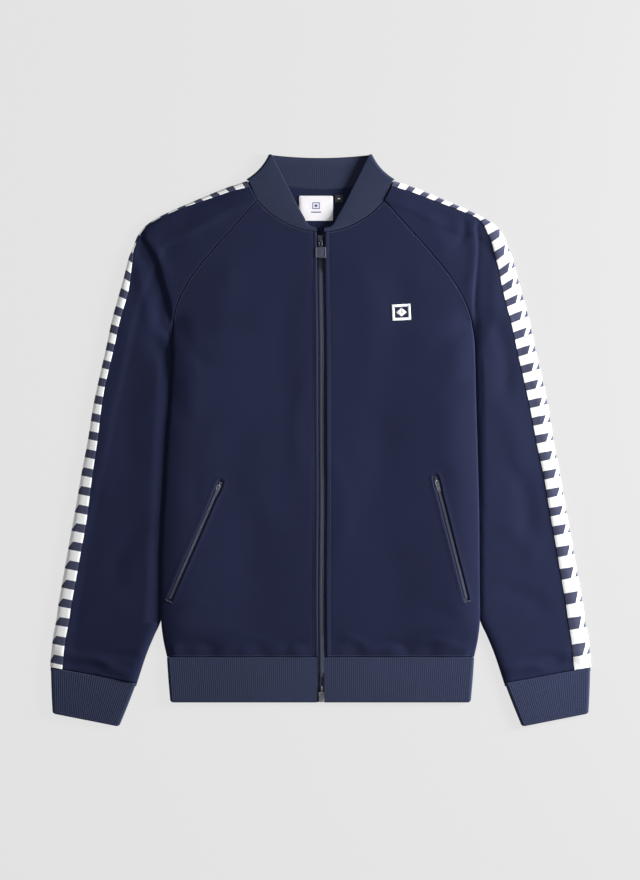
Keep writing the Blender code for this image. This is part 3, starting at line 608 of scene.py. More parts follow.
def front_top(plan, side):
    """Height of the outer face of a front, given in the left front's place."""
    x, y = plan[..., 0], plan[..., 1]
    calm = ease((beyond_slot(plan, side) - 4.0) / 22.0)
    top = body_lift(plan) + 2 * CLOTH + body_gap(plan) + folds(plan, FRONT_FOLDS[side]) * calm
    above_hem = y - BODY_SIDE[0][1]
    waver = 1.0 + 0.35 * np.sin(x / 13.0 + SIDES[side]) + 0.2 * np.sin(x / 5.3 + 2.0)
    blouse = np.exp(-(((above_hem - 7.0) / BLOUSE_REACH) ** 2)) * (above_hem > -1)
    top += BLOUSE * waver * blouse * ease((side_at(y) - x) / 14.0)
    from_zip = x - SIDES[side] * zip_x(y)
    top += np.exp(-(((from_zip - 8.0) / 2.6) ** 2)) * (0.55 + 0.3 * np.sin(y / 47.0 + SIDES[side]))
    return top - 0.45 * np.exp(-(((from_zip - PLACKET_STITCH) / 1.3) ** 2))


def front_height(plan, side):
    """The same, with every sewn or cut edge turned down."""
    edge = np.minimum(panel_edges(plan, FRONT_RAGLAN), distance(plan, NECK_LINE))
    edge = np.minimum(edge, plan[..., 0] - SIDES[side] * zip_x(plan[..., 1]) - ZIP_EDGE)
    by_side = side_at(plan[..., 1]) - plan[..., 0] + 1e3 * (plan[..., 1] > BODY_SIDE[-1][1])
    by_slot = beyond_slot(plan, side)
    lip = 0.5 * np.exp(-(((by_slot - 2.4) / 1.5) ** 2)) - rolled(by_slot, 1.1)
    return front_top(plan, side) - rolled(edge) - rolled(by_side, 2.2) + lip


def panel_edges(plan, raglan):
    """Distance of each point of a panel from its sewn edges."""
    hem = plan[..., 1] - BODY_SIDE[0][1]
    return np.minimum(np.minimum(hem, distance(plan, raglan)), 1e3)


def cut_slot(piece, side):
    """Cuts the pocket's slit in a front, wider where the slider rests, and turns its edges down."""
    sign = SIDES[side]
    bm = bmesh.new()
    bm.from_mesh(piece.data)

    def places():
        found = np.array([v.co[:2] for v in bm.verts]) / MM
        return found * (sign, 1)

    top, bottom = (np.array(p) for p in POCKETS[side])
    length = np.linalg.norm(bottom - top)
    down = np.append((bottom - top) / length, 0.0)
    aside = np.array((-down[1], down[0], 0.0)) * sign
    for normal, offsets in (
        (aside, (-5.0, -4.1, -3.5, -SLOT_HALF, SLOT_HALF, 3.5, 4.1, 5.0)),
        (down, (-SLOT_OVER, length + SLOT_OVER)),
    ):
        for offset in offsets:
            reach, across, _ = beside_pocket(places(), side)
            near = (np.abs(across) < 12.0) & (reach > -14.0) & (reach < length + 14.0)
            verts = {v for v, close in zip(bm.verts, near) if close}
            faces = [f for f in bm.faces if any(v in verts for v in f.verts)]
            edges = {e for f in faces for e in f.edges}
            geometry = list({v for f in faces for v in f.verts}) + list(edges) + faces
            where = (np.append(top, 0.0) + normal * offset) * MM
            bmesh.ops.bisect_plane(bm, geom=geometry, plane_co=where, plane_no=normal, dist=1e-6)
    middles = np.array([f.calc_center_median()[:2] for f in bm.faces]) / MM * (sign, 1)
    reach, across, _ = beside_pocket(middles, side)
    inside = (np.abs(across) < SLOT_HALF) & (reach > -SLOT_OVER) & (reach < length + SLOT_OVER)
    bmesh.ops.delete(bm, geom=[f for f, gone in zip(bm.faces, inside) if gone], context="FACES")
    plan = places()
    reach, across, _ = beside_pocket(plan, side)
    flare = np.sin(pi * np.clip((reach + 3.0) / 26.0, 0, 1))
    flare *= np.exp(-(((np.abs(across) - SLOT_HALF) / 4.0) ** 2))
    left_aside = aside[:2] * (sign, 1)
    moved = plan + (SLOT_FLARE * flare * np.sign(across))[:, None] * left_aside
    heights = front_height(plan, side)
    for vert, (x, y), z in zip(bm.verts, moved, heights):
        vert.co = (x * sign * MM, y * MM, z * MM)
    bm.to_mesh(piece.data)
    bm.free()


NECK_LINE = smooth_at(FRONT_NECK, np.linspace(0, 1, 30))
fronts = {}
for side, sign in SIDES.items():
    plan = body_half(ZIP_EDGE, FRONT_NECK, FRONT_RAGLAN, 2.9)
    plan[..., 0] += sign * zip_x(plan[..., 1]) * (1 - ease((plan[..., 0] - ZIP_EDGE) / 60.0))
    flat = lay(plan, front_height(plan, side))
    piece = weave_sheet("front_panel_" + side, mirrored(flat, sign), cloth_finish, 0.0, sign < 0)
    cut_slot(piece, side)
    thicken(piece, 1.4)
    settle(piece)
    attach(piece, "jacket")
    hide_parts("front_" + side)
    plan_area(plan)
    fronts[side] = piece

half = body_half(0.0, BACK_NECK, BACK_RAGLAN, 5.5)
plan = np.concatenate([mirrored(half, -1)[:, :0:-1], half], axis=1)
low = body_lift(plan) + 0.15
back = weave_sheet("back_cloth", lay(plan, low), cloth_finish, 1.3, True)
settle(back)
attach(back, "jacket")
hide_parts("back_panel")
plan_area(plan)

# ---------------------------------------------------------------------------------------------------------
# Sleeves: two-piece raglans, joined along the overarm. They lie full and rounded, creased down from the
# shoulder to the armhole, and eased into their cuffs with short tucks.
SLEEVE_LOW = 2.6
SLEEVE_HIGH = {"l": 6.9, "r": 7.8}
SLEEVE_BEND = {"l": 1.4, "r": 2.2}
SLEEVE_THIN = {"l": 0.6, "r": 0.15}
COVER_STEP = {"l": 2.6, "r": 2.2}
COVER_REACH = {"l": 24.0, "r": 46.0}
COVERED_GAP = 0.8
TUCK = 3.0
TAPE = 1.0
TAPE_WIDTH = 36.0
TAPE_RAMP = 12.0
TAPE_SHOWN = {  # section, width of the tape that shows in front
    "l": (
        (0, 7),
        (2, 6.5),
        (4.5, 4),
        (6, 14.5),
        (7, 18),
        (9.3, 23),
        (12, 23.5),
        (16, 23),
        (18, 20.5),
        (25, 22),
    ),
    "r": (
        (0, 8),
        (2, 5),
        (3.4, 1.5),
        (4.5, 0.4),
        (8.2, 0.4),
        (8.9, 5),
        (10.4, 10.5),
        (15.2, 9),
        (17.5, 13),
        (19.5, 17),
        (25, 16),
    ),
}
CAP_FOLD = {  # x, y down the deepest fold, which is steep on the body's side
    "l": ((208.5, 286.0), (210.5, 262.0), (209.5, 238.0), (206.5, 205.0), (205.0, 160.0)),
    "r": ((236.0, 266.0), (221.0, 243.0), (214.5, 216.0), (208.0, 189.0), (204.0, 160.0)),
}
CAP_DEPTH = {"l": 1.9, "r": 3.2}
CAP_WIDTHS = {"l": (1.3, 5.0), "r": (2.0, 60.0)}
CAP_STEP = {"l": 0.12, "r": 0.1}
SLEEVE_FOLDS = {  # x, y of both ends, depth, width, rise
    "l": (
        (202.0, 292.0, 198.0, 205.0, 0.7, 9.0, 1),
        (192.0, 296.0, 186.0, 262.0, 0.8, 6.0, 0),
        (120.0, 318.0, 176.0, 286.0, 0.8, 14.0, 0),
        (140.0, 300.0, 168.0, 248.0, 0.7, 12.0, 1),
        (224.0, 172.0, 246.0, 60.0, 1.5, 12.0, 0),
        (262.0, 190.0, 270.0, 110.0, 0.8, 12.0, 0),
        (236.0, 60.0, 262.0, -60.0, 0.9, 16.0, 1),
        (252.0, -30.0, 276.0, -130.0, 1.2, 13.0, 0),
        (244.0, -110.0, 290.0, -160.0, 0.9, 14.0, 1),
        (240.0, -200.0, 300.0, -228.0, 0.8, 12.0, 0),
        (251.0, -309.0, 300.0, -304.0, 1.5, 5.0, 1),
        (270.0, -297.0, 318.0, -289.0, 1.2, 5.0, 0),
        (322.0, -291.0, 352.0, -284.0, 1.3, 5.0, 1),
        (312.0, -303.0, 346.0, -297.0, 1.0, 4.0, 0),
        (332.0, -276.0, 356.0, -272.0, 0.8, 5.0, 0),
    ),
    "r": (
        (224.0, 284.0, 200.0, 218.0, 0.6, 9.0, 1),
        (128.0, 322.0, 190.0, 298.0, 0.9, 14.0, 0),
        (136.0, 296.0, 186.0, 262.0, 0.8, 12.0, 1),
        (212.0, 196.0, 216.0, 96.0, 1.6, 11.0, 0),
        (256.0, 210.0, 262.0, 140.0, 0.7, 12.0, 1),
        (240.0, 90.0, 250.0, -40.0, 0.8, 16.0, 0),
        (270.0, 20.0, 286.0, -90.0, 0.8, 15.0, 1),
        (238.0, -110.0, 276.0, -190.0, 1.0, 14.0, 0),
        (262.0, -210.0, 320.0, -236.0, 0.8, 13.0, 1),
        (256.0, -312.0, 294.0, -309.0, 1.4, 4.5, 1),
        (276.0, -301.0, 330.0, -291.0, 1.6, 5.0, 1),
        (286.0, -309.0, 330.0, -300.0, 1.2, 4.0, 0),
        (328.0, -287.0, 352.0, -284.0, 1.2, 5.0, 1),
        (240.0, -292.0, 282.0, -288.0, 0.9, 5.0, 0),
    ),
}


def square_to(line):
    along = np.gradient(line, axis=0)
    across = np.stack([-along[:, 1], along[:, 0]], axis=1)
    return across / np.linalg.norm(across, axis=1)[:, None]


def sections_at(v):
    """Inner and outer ends of the sleeve's sections at places from the neck (0) to the cuff (1)."""
    return smooth_at(SECTIONS, v, np.arange(len(SECTIONS), dtype=float))


ROWS = steps(670.0, 2.9)
FINE_OVERARM = sections_at(np.linspace(0, 1, 160))[:, 2:]
FINE_OVERARM = FINE_OVERARM - square_to(FINE_OVERARM) * (TAPE + SEAM)
UNDERARM = sections_at(np.linspace(ARMPIT / (len(SLEEVE) - 1), 1, 90))[:, :2]


def shown_at(side, v):
    table = np.array(TAPE_SHOWN[side])
    return np.interp(np.asarray(v) * (len(SLEEVE) - 1), table[:, 0], table[:, 1])


def behind_at(side, v):
    return TAPE_WIDTH - shown_at(side, v) - 2 * CLOTH - 2 * SEAM


def tape_rise(over, side, v):
    """How far the sleeve is held off the table by the tape wrapped under its edge."""
    return (TAPE + SEAM) * (1 - ease((over - behind_at(side, v)) / TAPE_RAMP))


def sleeve_top(plan, side, v):
    """Height of the outer face of a sleeve's front, given in the left sleeve's place."""
    y = plan[..., 1]
    over, under = distance(plan, FINE_OVERARM), distance(plan, UNDERARM)
    from_raglan = distance(plan, FRONT_RAGLAN)
    across = under / np.maximum(under + over, 1.0)
    thin = 1 - SLEEVE_THIN[side] * ease((60.0 - y) / 260.0)
    full = SLEEVE_LOW + (SLEEVE_HIGH[side] - SLEEVE_LOW) * thin * (1 - across) ** SLEEVE_BEND[side]
    by_body = body_gap(plan)
    most = by_body + (full - by_body) * ease(from_raglan / 75.0)
    gap = SEAM + (most - SEAM) * dome(under / 13.0) * dome(over / 15.0)
    beside = plan[..., 0] - side_at(y) + 1.0
    cover = COVERED_GAP + COVER_STEP[side] * ease(beside / 3.0)
    cover += (SLEEVE_HIGH[side] - COVER_STEP[side]) * ease(beside / COVER_REACH[side])
    gap = np.where((y < LIFT_ALONG[2]) & (y > LIFT_ALONG[1]), np.minimum(gap, cover), gap)
    fold_line = smooth_at(CAP_FOLD[side], np.linspace(0, 1, 24))
    fold = distance(plan, fold_line)
    outside = plan[..., 0] > np.interp(y, fold_line[::-1, 1], fold_line[::-1, 0])
    narrow, wide = CAP_WIDTHS[side]
    trough = np.where(outside, np.exp(-fold / wide) - 0.35 * np.exp(-(((fold - 26.0) / 9.0) ** 2)), 0.0)
    bank = np.exp(-((fold / narrow) ** 2)) - CAP_STEP[side] * np.exp(-(((fold - 8.0) / 5.0) ** 2))
    trough += np.where(outside, 0.0, bank)
    trough *= CAP_DEPTH[side] * ease((from_raglan - 1.0) / 9.0)
    creases = folds(plan, SLEEVE_FOLDS[side]) * np.clip(under / 8.0, 0, 1) * np.clip(over / 6.0, 0, 1)
    uncovered = ease((plan[..., 0] - side_at(y)) / 12.0)
    creases *= np.where((y < LIFT_ALONG[2]) & (y > LIFT_ALONG[1]), uncovered, 1.0)
    gap = np.maximum(gap - trough * np.clip(over / 10.0, 0, 1) + creases, SEAM)
    return 2 * CLOTH + tape_rise(over, side, v) + gap


def sleeve_grid(inner, outer, u):
    return inner[:, None] * (1 - u[None, :, None]) + outer[:, None] * u[None, :, None]


sleeve_fronts = {}
for side, sign in SIDES.items():
    ends = sections_at(ROWS)
    inner, outer = ends[:, :2], ends[:, 2:]
    outer = outer - square_to(outer) * (TAPE + SEAM)
    u = steps(105.0, 3.0)
    plan = sleeve_grid(inner, outer, u)
    v = ROWS[:, None] * np.ones(len(u))
    edge = np.minimum(distance(plan, FRONT_RAGLAN), distance(plan, np.array([inner[0], outer[0]])))
    edge = np.minimum(edge, distance(plan, np.array([inner[-1], outer[-1]])))
    top = sleeve_top(plan, side, v) - rolled(edge) - rolled(distance(plan, FINE_OVERARM), 1.6)
    top -= rolled(distance(plan, UNDERARM), 1.2)
    piece = weave_sheet("sleeve_top_" + side, mirrored(lay(plan, top), sign), cloth_finish, 1.3, sign > 0)
    settle(piece)
    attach(piece, "jacket")
    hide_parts("sleeve_front_" + side)
    "sleeve_under_" + side
    plan_area(plan)
    sleeve_fronts[side] = piece

    rows = np.linspace(0.0, 1.0, 110)
    ends = sections_at(rows)
    inner, outer = ends[:, :2], ends[:, 2:]
    shift = np.clip(1 - rows * (len(SLEEVE) - 1) / BACK_RAGLAN_ROWS, 0.0, 1.0)[:, None] ** 1.5
    inner = inner + shift * np.array(BACK_RAGLAN_SHIFT)
    inner[-1] += (inner[-1] - inner[-2]) * 0.6
    outer[-1] += (outer[-1] - outer[-2]) * 0.6
    tuck = np.exp(-(((rows * (len(SLEEVE) - 1) - ARMPIT - 0.3) / 0.9) ** 2))[:, None]
    inner = inner - tuck * np.array((TUCK, 0.0))
    outer = outer - square_to(outer) * (TAPE + SEAM)
    u = np.linspace(0.0, 1.0, 22)
    plan = sleeve_grid(inner, outer, u)
    over = distance(plan, FINE_OVERARM)
    low = tape_rise(over, side, rows[:, None] * np.ones(len(u))) + 0.15
    piece = weave_sheet("sleeve_under_" + side, mirrored(lay(plan, low), sign), cloth_finish, 1.3, sign < 0)
    settle(piece)
    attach(piece, "jacket")
    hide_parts("sleeve_back_" + side)
    plan_area(plan)

# ---------------------------------------------------------------------------------------------------------
# Sleeve tapes: white twill woven with navy notches along both edges, sewn over the overarm seam from neck
# to cuff and folded round the sleeve's edge, so that part of each lies on the front and part under the back.
TAPE_WHITE = (0.86, 0.87, 0.87)
TAPE_NAVY = (0.040, 0.045, 0.092, 1.0)
NOTCH_PITCH = 24.5
NOTCH_PART = 0.47
NOTCH_DEPTH = (12.8, 19.2)
NOTCH_FAR = (10.0, 18.2)
NOTCHES = {  # distance down the tape, notches passed
    "l": (
        (0, -0.2),
        (89, 4),
        (183, 8),
        (274, 12),
        (370, 16),
        (467, 20),
        (567, 24),
        (626, 26),
        (694, 28),
        (766, 30),
    ),
    "r": (
        (0, -0.1),
        (95, 4),
        (196, 8),
        (296, 12),
        (393, 16),
        (466, 19),
        (541, 22),
        (591, 24),
        (643, 26),
        (770, 31),
    ),
}

tape_weave = Finish("notched_tape", TAPE_WHITE, 0.7, Sheen_Weight=0.2, Specular_IOR_Level=0.3)
across, along = tape_weave.grain()
place = (along / NOTCH_PITCH).part()
depth = NOTCH_DEPTH[1] - (place / NOTCH_PART) * (NOTCH_DEPTH[1] - NOTCH_DEPTH[0])
near = (depth - across).step(0.0, 0.35)
far_depth = NOTCH_FAR[0] + (place / NOTCH_PART) * (NOTCH_FAR[1] - NOTCH_FAR[0])
far = (far_depth - (TAPE_WIDTH - across)).step(0.0, 0.35)
in_notch = place.step(0.012, 0.015) * (NOTCH_PART - place).step(0.0, 0.015)
notch = near.most(far) * in_notch
thread = (across + along).wave(1.1) * 0.6 + tape_weave.noise(1.2, 3.0) * 0.4
shaded = tape_weave.mix(thread, (0.86, 0.87, 0.87, 1.0), (0.97, 0.97, 0.97, 1.0))
tape_weave.set(Base_Color=tape_weave.mix(notch, shaded, TAPE_NAVY), Roughness=0.62 + thread * 0.2)
tape_weave.relief(thread * 0.5 + (1 - notch) * 0.5, 0.25, 0.7)

for side, sign in SIDES.items():
    rows = steps(650.0, 2.6, False, False)
    ends = sections_at(rows)
    outer, out = ends[:, 2:], square_to(ends[:, 2:])
    fold = outer - out * (TAPE + SEAM)
    inward = ends[:, :2] - ends[:, 2:]
    inward /= np.linalg.norm(inward, axis=1)[:, None]
    shown, behind = shown_at(side, rows), behind_at(side, rows)
    strip, chart = [], []
    for part in np.linspace(1.0, 0.0, 12):
        spot = fold + inward * (shown * part)[:, None]
        top = sleeve_top(spot[:, None], side, rows[:, None])[:, 0] - rolled(distance(spot, FINE_OVERARM), 1.6)
        strip.append(lay(spot, top + 0.25 + 0.65 * (1 if part < 1 else 0.4)))
        chart.append(shown * (1 - part))
    edge_top = strip[-1][:, 2]
    for turn in np.radians((60.0, 30.0, 0.0, -30.0, -60.0)):
        reach = (TAPE + SEAM) * cos(turn)
        height = edge_top / 2 + edge_top / 2 * sin(turn)
        strip.append(lay(fold + out * reach, height))
        chart.append(shown + (CLOTH + SEAM) * (1 - turn / (pi / 2)))
    for part in np.linspace(0.0, 1.0, 6):
        strip.append(lay(fold + inward * (behind * part)[:, None], 0.06))
        chart.append(shown + 2 * (CLOTH + SEAM) + behind * part)
    points, across_map = np.stack(strip, axis=1), np.stack(chart, axis=1)
    passed = np.interp(travelled(outer, 0), *np.array(NOTCHES[side], float).T)
    passed = passed + NOTCH_PART / 2 if sign > 0 else NOTCH_PART / 2 - passed
    along_map = np.broadcast_to(passed[:, None] * NOTCH_PITCH, across_map.shape)
    piece = weave_sheet(
        "notched_tape_" + side,
        mirrored(points, sign),
        tape_weave.material,
        0.6,
        sign > 0,
        grain=(across_map, along_map),
    )
    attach(piece, "jacket")
    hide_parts("tape_" + side)
    "sleeve_top_" + side

# ---------------------------------------------------------------------------------------------------------
# Ribs: collar, hem and cuffs are strips of navy one-and-one rib, folded double and sewn on by their raw
# edges, so that the free edge is a soft fold. Their ribs run from the seam to that edge.
RIB_SHADE = (0.0272, 0.0343, 0.0715)
# The collar's rib is the same navy rib made darker: painted shade, so that the collar reads as lit less than
# the hem and cuffs.
COLLAR_PAINTED_SHADE = (0.0235, 0.030, 0.062)
RIB_PITCH = 2.7
RIB_DEPTH = 0.15
RIB = 2.4
COLLAR_RIB = 2.6
RIB_FRONT = 5.6
COLLAR_FLAP = 6.7
COLLAR_NECK = (99.4, 350.4)
COLLAR_CORNER = (67.8, 385.4)
COLLAR_BACK_TOP = 379.0
COLLAR_FRONT_TOP = ((43.6, 340.4), (24.0, 303.0), (12.7, 286.8), (5.6, 285.4))
HEM_BOTTOM = -349.7
HEM_BOTTOM_SIDE = 201.0
CORNER_TRIM = 2.2
COLLAR_BOW = 4.2
BOW_REACH = 16.0
CUFF_SEAM = ((246.5, -323.9), (360.8, -302.8))
CUFF_END = ((269.5, -382.0), (358.5, -364.5))


def rib_finish(name, shade):
    """Upright ribs with painted shade in the furrows between them, and small stitches on each rib."""
    made = Finish(
        name,
        shade,
        0.85,
        Specular_IOR_Level=0.12,
        Sheen_Weight=0.08,
        Sheen_Roughness=0.4,
        Sheen_Tint=(0.6, 0.66, 1.0, 1.0),
    )
    across, along = made.grain()
    rib = across.wave(RIB_PITCH)
    stitch = (along + rib * 0.5).wave(0.95)
    fuzz = made.noise(1.8, 4.0)
    bloom = made.noise(60.0, 2.0)
    # Painted shade: the rib wave darkens the base colour in the furrows between the ribs. Fuzz and bloom are
    # random tone.
    made.set(Base_Color=made.tint(0.74, 1.22, rib * 0.4 + fuzz * 0.3 + bloom * 0.3))
    made.set(Roughness=0.76 + fuzz * 0.16)
    made.relief(rib * 0.6 + stitch * 0.25 + fuzz * 0.15, 0.3, 0.6)
    return made.material


rib_knit = rib_finish("navy_rib", RIB_SHADE)
collar_painted_shade_knit = rib_finish("navy_collar_rib", COLLAR_PAINTED_SHADE)


def folded_strip(name, seam, free, height, turn, out, wall, ring=False, turned=False, deep=14, bow=0.0):
    """A strip from its sections: rows go along it, columns from the seam to the free edge. A bow pulls its
    folded ends in."""
    seam, free, out = np.array(seam), np.array(free), np.array(out)
    height, turn = np.array(height), np.radians(np.array(turn))
    normal = np.stack([out[:, 0] * np.cos(turn), out[:, 1] * np.cos(turn), np.sin(turn)], axis=-1)
    base = (seam + free) / 2
    run = travelled(lay(base, height), 0)
    if ring:
        whole = run[-1] + np.linalg.norm(lay(base, height)[0] - lay(base, height)[-1])
        run = run * (round(whole / RIB_PITCH) * RIB_PITCH / whole)
    part = steps(60.0, 60.0 / deep)
    line = seam[:, None] * (1 - part[:, None]) + free[:, None] * part[:, None]
    length = np.linalg.norm(free - seam, axis=1)[:, None]
    far = np.minimum(part * length, (1 - part) * length)
    seam_drop = rolled(part * length, 1.1)
    edge_drop = rolled((1 - part) * length, 1.3)
    ridge = RIB_DEPTH * np.cos(2 * pi * run / RIB_PITCH)[:, None] * np.clip(far / 1.5, 0, 1)
    swell = 0.35 * np.sin(pi * part)
    lift = wall / 2 + ridge + swell - seam_drop - edge_drop
    points = lay(line, height[:, None]) + normal[:, None] * lift[..., None]
    along = np.broadcast_to(part * length, points.shape[:2])
    across = np.broadcast_to(run[:, None], points.shape[:2])
    points[..., 2] = np.maximum(points[..., 2], 0.05)
    if bow:
        far = distance(np.abs(points[..., :2]), (COLLAR_NECK, COLLAR_CORNER))
        shift = bow * np.sin(pi * part) ** 0.8 * np.exp(-((far / BOW_REACH) ** 2))
        points[..., 0] -= np.sign(points[..., 0]) * shift * 0.74
        points[..., 1] -= shift * 0.68
    return weave_sheet(name, points, rib_knit, wall - 0.5, turned, ring, (across, along)), points


def strip_rows(parts):
    """Joins lists of sections, each given as seam, free edge, height, turn and outward direction."""
    return [np.concatenate([part[k] for part in parts]) for k in range(5)]


def run_of(seam, free, height, turn, out):
    count = len(seam)
    return seam, free, np.full(count, height), np.full(count, turn), np.tile(out, (count, 1))


def fold_run(seam, free, low, high, away, count=9):
    """Half-round sections from the back's wall to the front's."""
    seam, free = np.array(seam), np.array(free)
    along = (free - seam) / np.linalg.norm(free - seam)
    out = np.array([along[1], -along[0]])
    if out @ np.array(away) < 0:
        out = -out
    turn = np.linspace(-90.0, 90.0, count + 2)[1:-1]
    radius, centre = (high - low) / 2, (high + low) / 2
    shift = out * (radius * np.cos(np.radians(turn)))[:, None]
    trim = along * (CORNER_TRIM * (1 - np.abs(turn) / 90.0))[:, None]
    height = centre + radius * np.sin(np.radians(turn))
    return seam + shift, free + shift - trim, height, turn, np.tile(out, (count, 1))


def spread(start, end, pitch):
    """Points from one place to another, about a pitch apart."""
    count = max(int(np.linalg.norm(np.array(end) - np.array(start)) / pitch), 2)
    return np.linspace(start, end, count + 1)


def flipped(rows):
    """The same sections on the other half, in the opposite order."""
    seam, free, height, turn, out = rows
    seam, free, out = (mirrored(points, -1)[::-1] for points in (seam, free, out))
    return seam, free, height[::-1], turn[::-1], out


def resampled(rows, pitch, ring=False):
    """The same sections, evenly spaced along the strip."""
    seam, free, height, turn, out = rows
    middle = lay((seam + free) / 2, height)
    if ring:
        middle = np.concatenate([middle, middle[:1]])
        seam, free = np.concatenate([seam, seam[:1]]), np.concatenate([free, free[:1]])
        height, turn = np.append(height, height[0]), np.append(turn, turn[0] + 360.0)
        out = np.concatenate([out, out[:1]])
    run = travelled(middle, 0)
    count = int(round(run[-1] / pitch))
    at = np.linspace(0.0, run[-1], count + 1)
    if ring:
        at = at[:-1]

    def spread_out(column):
        return np.interp(at, run, column)

    return (
        np.stack([spread_out(seam[:, k]) for k in (0, 1)], axis=-1),
        np.stack([spread_out(free[:, k]) for k in (0, 1)], axis=-1),
        spread_out(height),
        spread_out(turn),
        np.stack([spread_out(out[:, k]) for k in (0, 1)], axis=-1),
    )


rib_step = RIB_PITCH / 4

# Collar
low = COLLAR_RIB / 2 + 0.3
reach = (COLLAR_FLAP - low) / 2 + COLLAR_RIB / 2
neck, corner = np.array(COLLAR_NECK), np.array(COLLAR_CORNER)
down = (corner - neck) / np.linalg.norm(corner - neck)
out = np.array([down[1], -down[0]])
out = out if out[0] > 0 else -out
neck, corner = neck - out * reach, corner - out * reach
seam = np.concatenate([smooth_at(BACK_NECK, np.linspace(0, 1, 20)), spread(BACK_NECK[-1], neck, 4.0)[1:]])
part = seam[:, :1] / neck[0]
free = np.concatenate([part * corner[0], COLLAR_BACK_TOP + (corner[1] - COLLAR_BACK_TOP) * part**2], axis=1)
behind = run_of(seam, free, low, -90.0, out)
turned = fold_run(neck, corner, low, COLLAR_FLAP, out)
to_front = smooth_at(FRONT_NECK[::-1], np.linspace(0, 1, 40))
seam = np.concatenate([spread(neck, FRONT_NECK[-1], 4.0), to_front[1:]])
part = travelled(seam, 0) / travelled(seam, 0)[-1]
free = smooth_at((corner,) + COLLAR_FRONT_TOP, part)
flap = run_of(seam, free, COLLAR_FLAP, 90.0, out)
half = strip_rows([behind, turned, flap])
other = flipped(half)
rows = resampled([np.concatenate([o[:-1], h]) for o, h in zip(other, half)], rib_step)
collar, points = folded_strip("collar_rib", *rows, COLLAR_RIB, bow=COLLAR_BOW)
# The collar takes the darker copy of the rib, which is painted shade.
collar.data.materials[0] = collar_painted_shade_knit
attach(collar, "jacket")
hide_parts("collar")
collar_area = plan_area(points)

# Hem
low = RIB / 2 + 0.1
reach = (RIB_FRONT - low) / 2 + RIB / 2
seam_y, side_x = BODY_SIDE[0][1] - SEAM / 2, BODY_SIDE[0][0]
seam_end, free_end = np.array((side_x - reach, seam_y)), np.array((HEM_BOTTOM_SIDE - reach, HEM_BOTTOM))
count = len(spread((0.0, seam_y), seam_end, 4.0))
behind = run_of(
    np.linspace((0.0, seam_y), seam_end, count),
    np.linspace((0.0, HEM_BOTTOM), free_end, count),
    low,
    -90.0,
    (1.0, 0.0),
)
turned = fold_run(seam_end, free_end, low, RIB_FRONT, (1.0, 0.0))
over = run_of(
    np.linspace(seam_end, (ZIP_EDGE, seam_y), count),
    np.linspace(free_end, (ZIP_EDGE, HEM_BOTTOM), count),
    RIB_FRONT,
    90.0,
    (1.0, 0.0),
)
half = strip_rows([behind, turned, over])
rows = resampled([np.concatenate([o[:-1], h]) for o, h in zip(flipped(half), half)], rib_step)
hem, points = folded_strip("hem_rib", *rows, RIB, turned=True)
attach(hem, "jacket")
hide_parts("hem_band")

# Cuffs
for side, sign in SIDES.items():
    seam, free = np.array(CUFF_SEAM), np.array(CUFF_END)
    unit = (seam[1] - seam[0]) / np.linalg.norm(seam[1] - seam[0])
    seam = np.array([seam[0] + unit * reach, seam[1] - unit * reach])
    free = np.array([free[0] + unit * reach, free[1] - unit * reach])
    count = 30
    under = run_of(np.linspace(*seam, count), np.linspace(*free, count), low, -90.0, unit)
    outer_fold = fold_run(seam[1], free[1], low, RIB_FRONT, unit)
    top = run_of(np.linspace(*seam[::-1], count), np.linspace(*free[::-1], count), RIB_FRONT, 90.0, unit)
    inner_fold = [rows[::-1] for rows in fold_run(seam[0], free[0], low, RIB_FRONT, -unit)]
    inner_fold[3] = 180.0 - inner_fold[3]
    inner_fold[4] = -inner_fold[4]
    rows = resampled(strip_rows([under, outer_fold, top, inner_fold]), rib_step, ring=True)
    rows = list(rows)
    if sign < 0:
        rows[0], rows[1], rows[4] = mirrored(rows[0], -1), mirrored(rows[1], -1), mirrored(rows[4], -1)
    piece, points = folded_strip("cuff_rib_" + side, *rows, RIB, ring=True, turned=sign > 0)
    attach(piece, "jacket")
    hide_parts("cuff_" + side)

# ---------------------------------------------------------------------------------------------------------
# Front zip: a dyed coil zip. Each half is a woven tape with a row of small rounded teeth on its edge, set
# under the front's turned edge. The slider rests at the top, and the tapes end in a metal box at the hem.
CHAIN_PITCH = 1.7
CHAIN_HALF = 2.9
CHAIN_TOP = 5.3
ZIP_TAPE_OUT = 15.0
ZIP_TAPE_TOP = 3.6
ZIP_STAND = 1.9
ZIP_TOP = 272.0
ZIP_BOTTOM = -349.0
SLIDER_Y = 268.0
SLIDER_HALF = 4.2
AXIS_Z = 7.8
LINK_WIRE = 0.6
LINK_LENGTH = 8.0

zip_weave = Finish("zip_tape_twill", (0.030, 0.035, 0.062), 0.75, Specular_IOR_Level=0.2)
across, along = zip_weave.grain()
rows_of_thread = (along + across * 0.6).wave(0.9) * 0.6 + across.wave(0.7) * 0.4
zip_weave.set(Base_Color=zip_weave.tint(0.5, 1.45, rows_of_thread * 0.7 + zip_weave.noise(3.0) * 0.3))
zip_weave.relief(rows_of_thread, 0.2, 0.7)

coil_finish = Finish("dyed_coil", (0.078, 0.086, 0.128), 0.5, Specular_IOR_Level=0.35)
worn = coil_finish.noise(2.4, 4.0)
coil_finish.set(Base_Color=coil_finish.tint(0.7, 1.3, worn), Roughness=0.34 + worn * 0.2)
coil_finish.relief(worn, 0.1, 0.5)


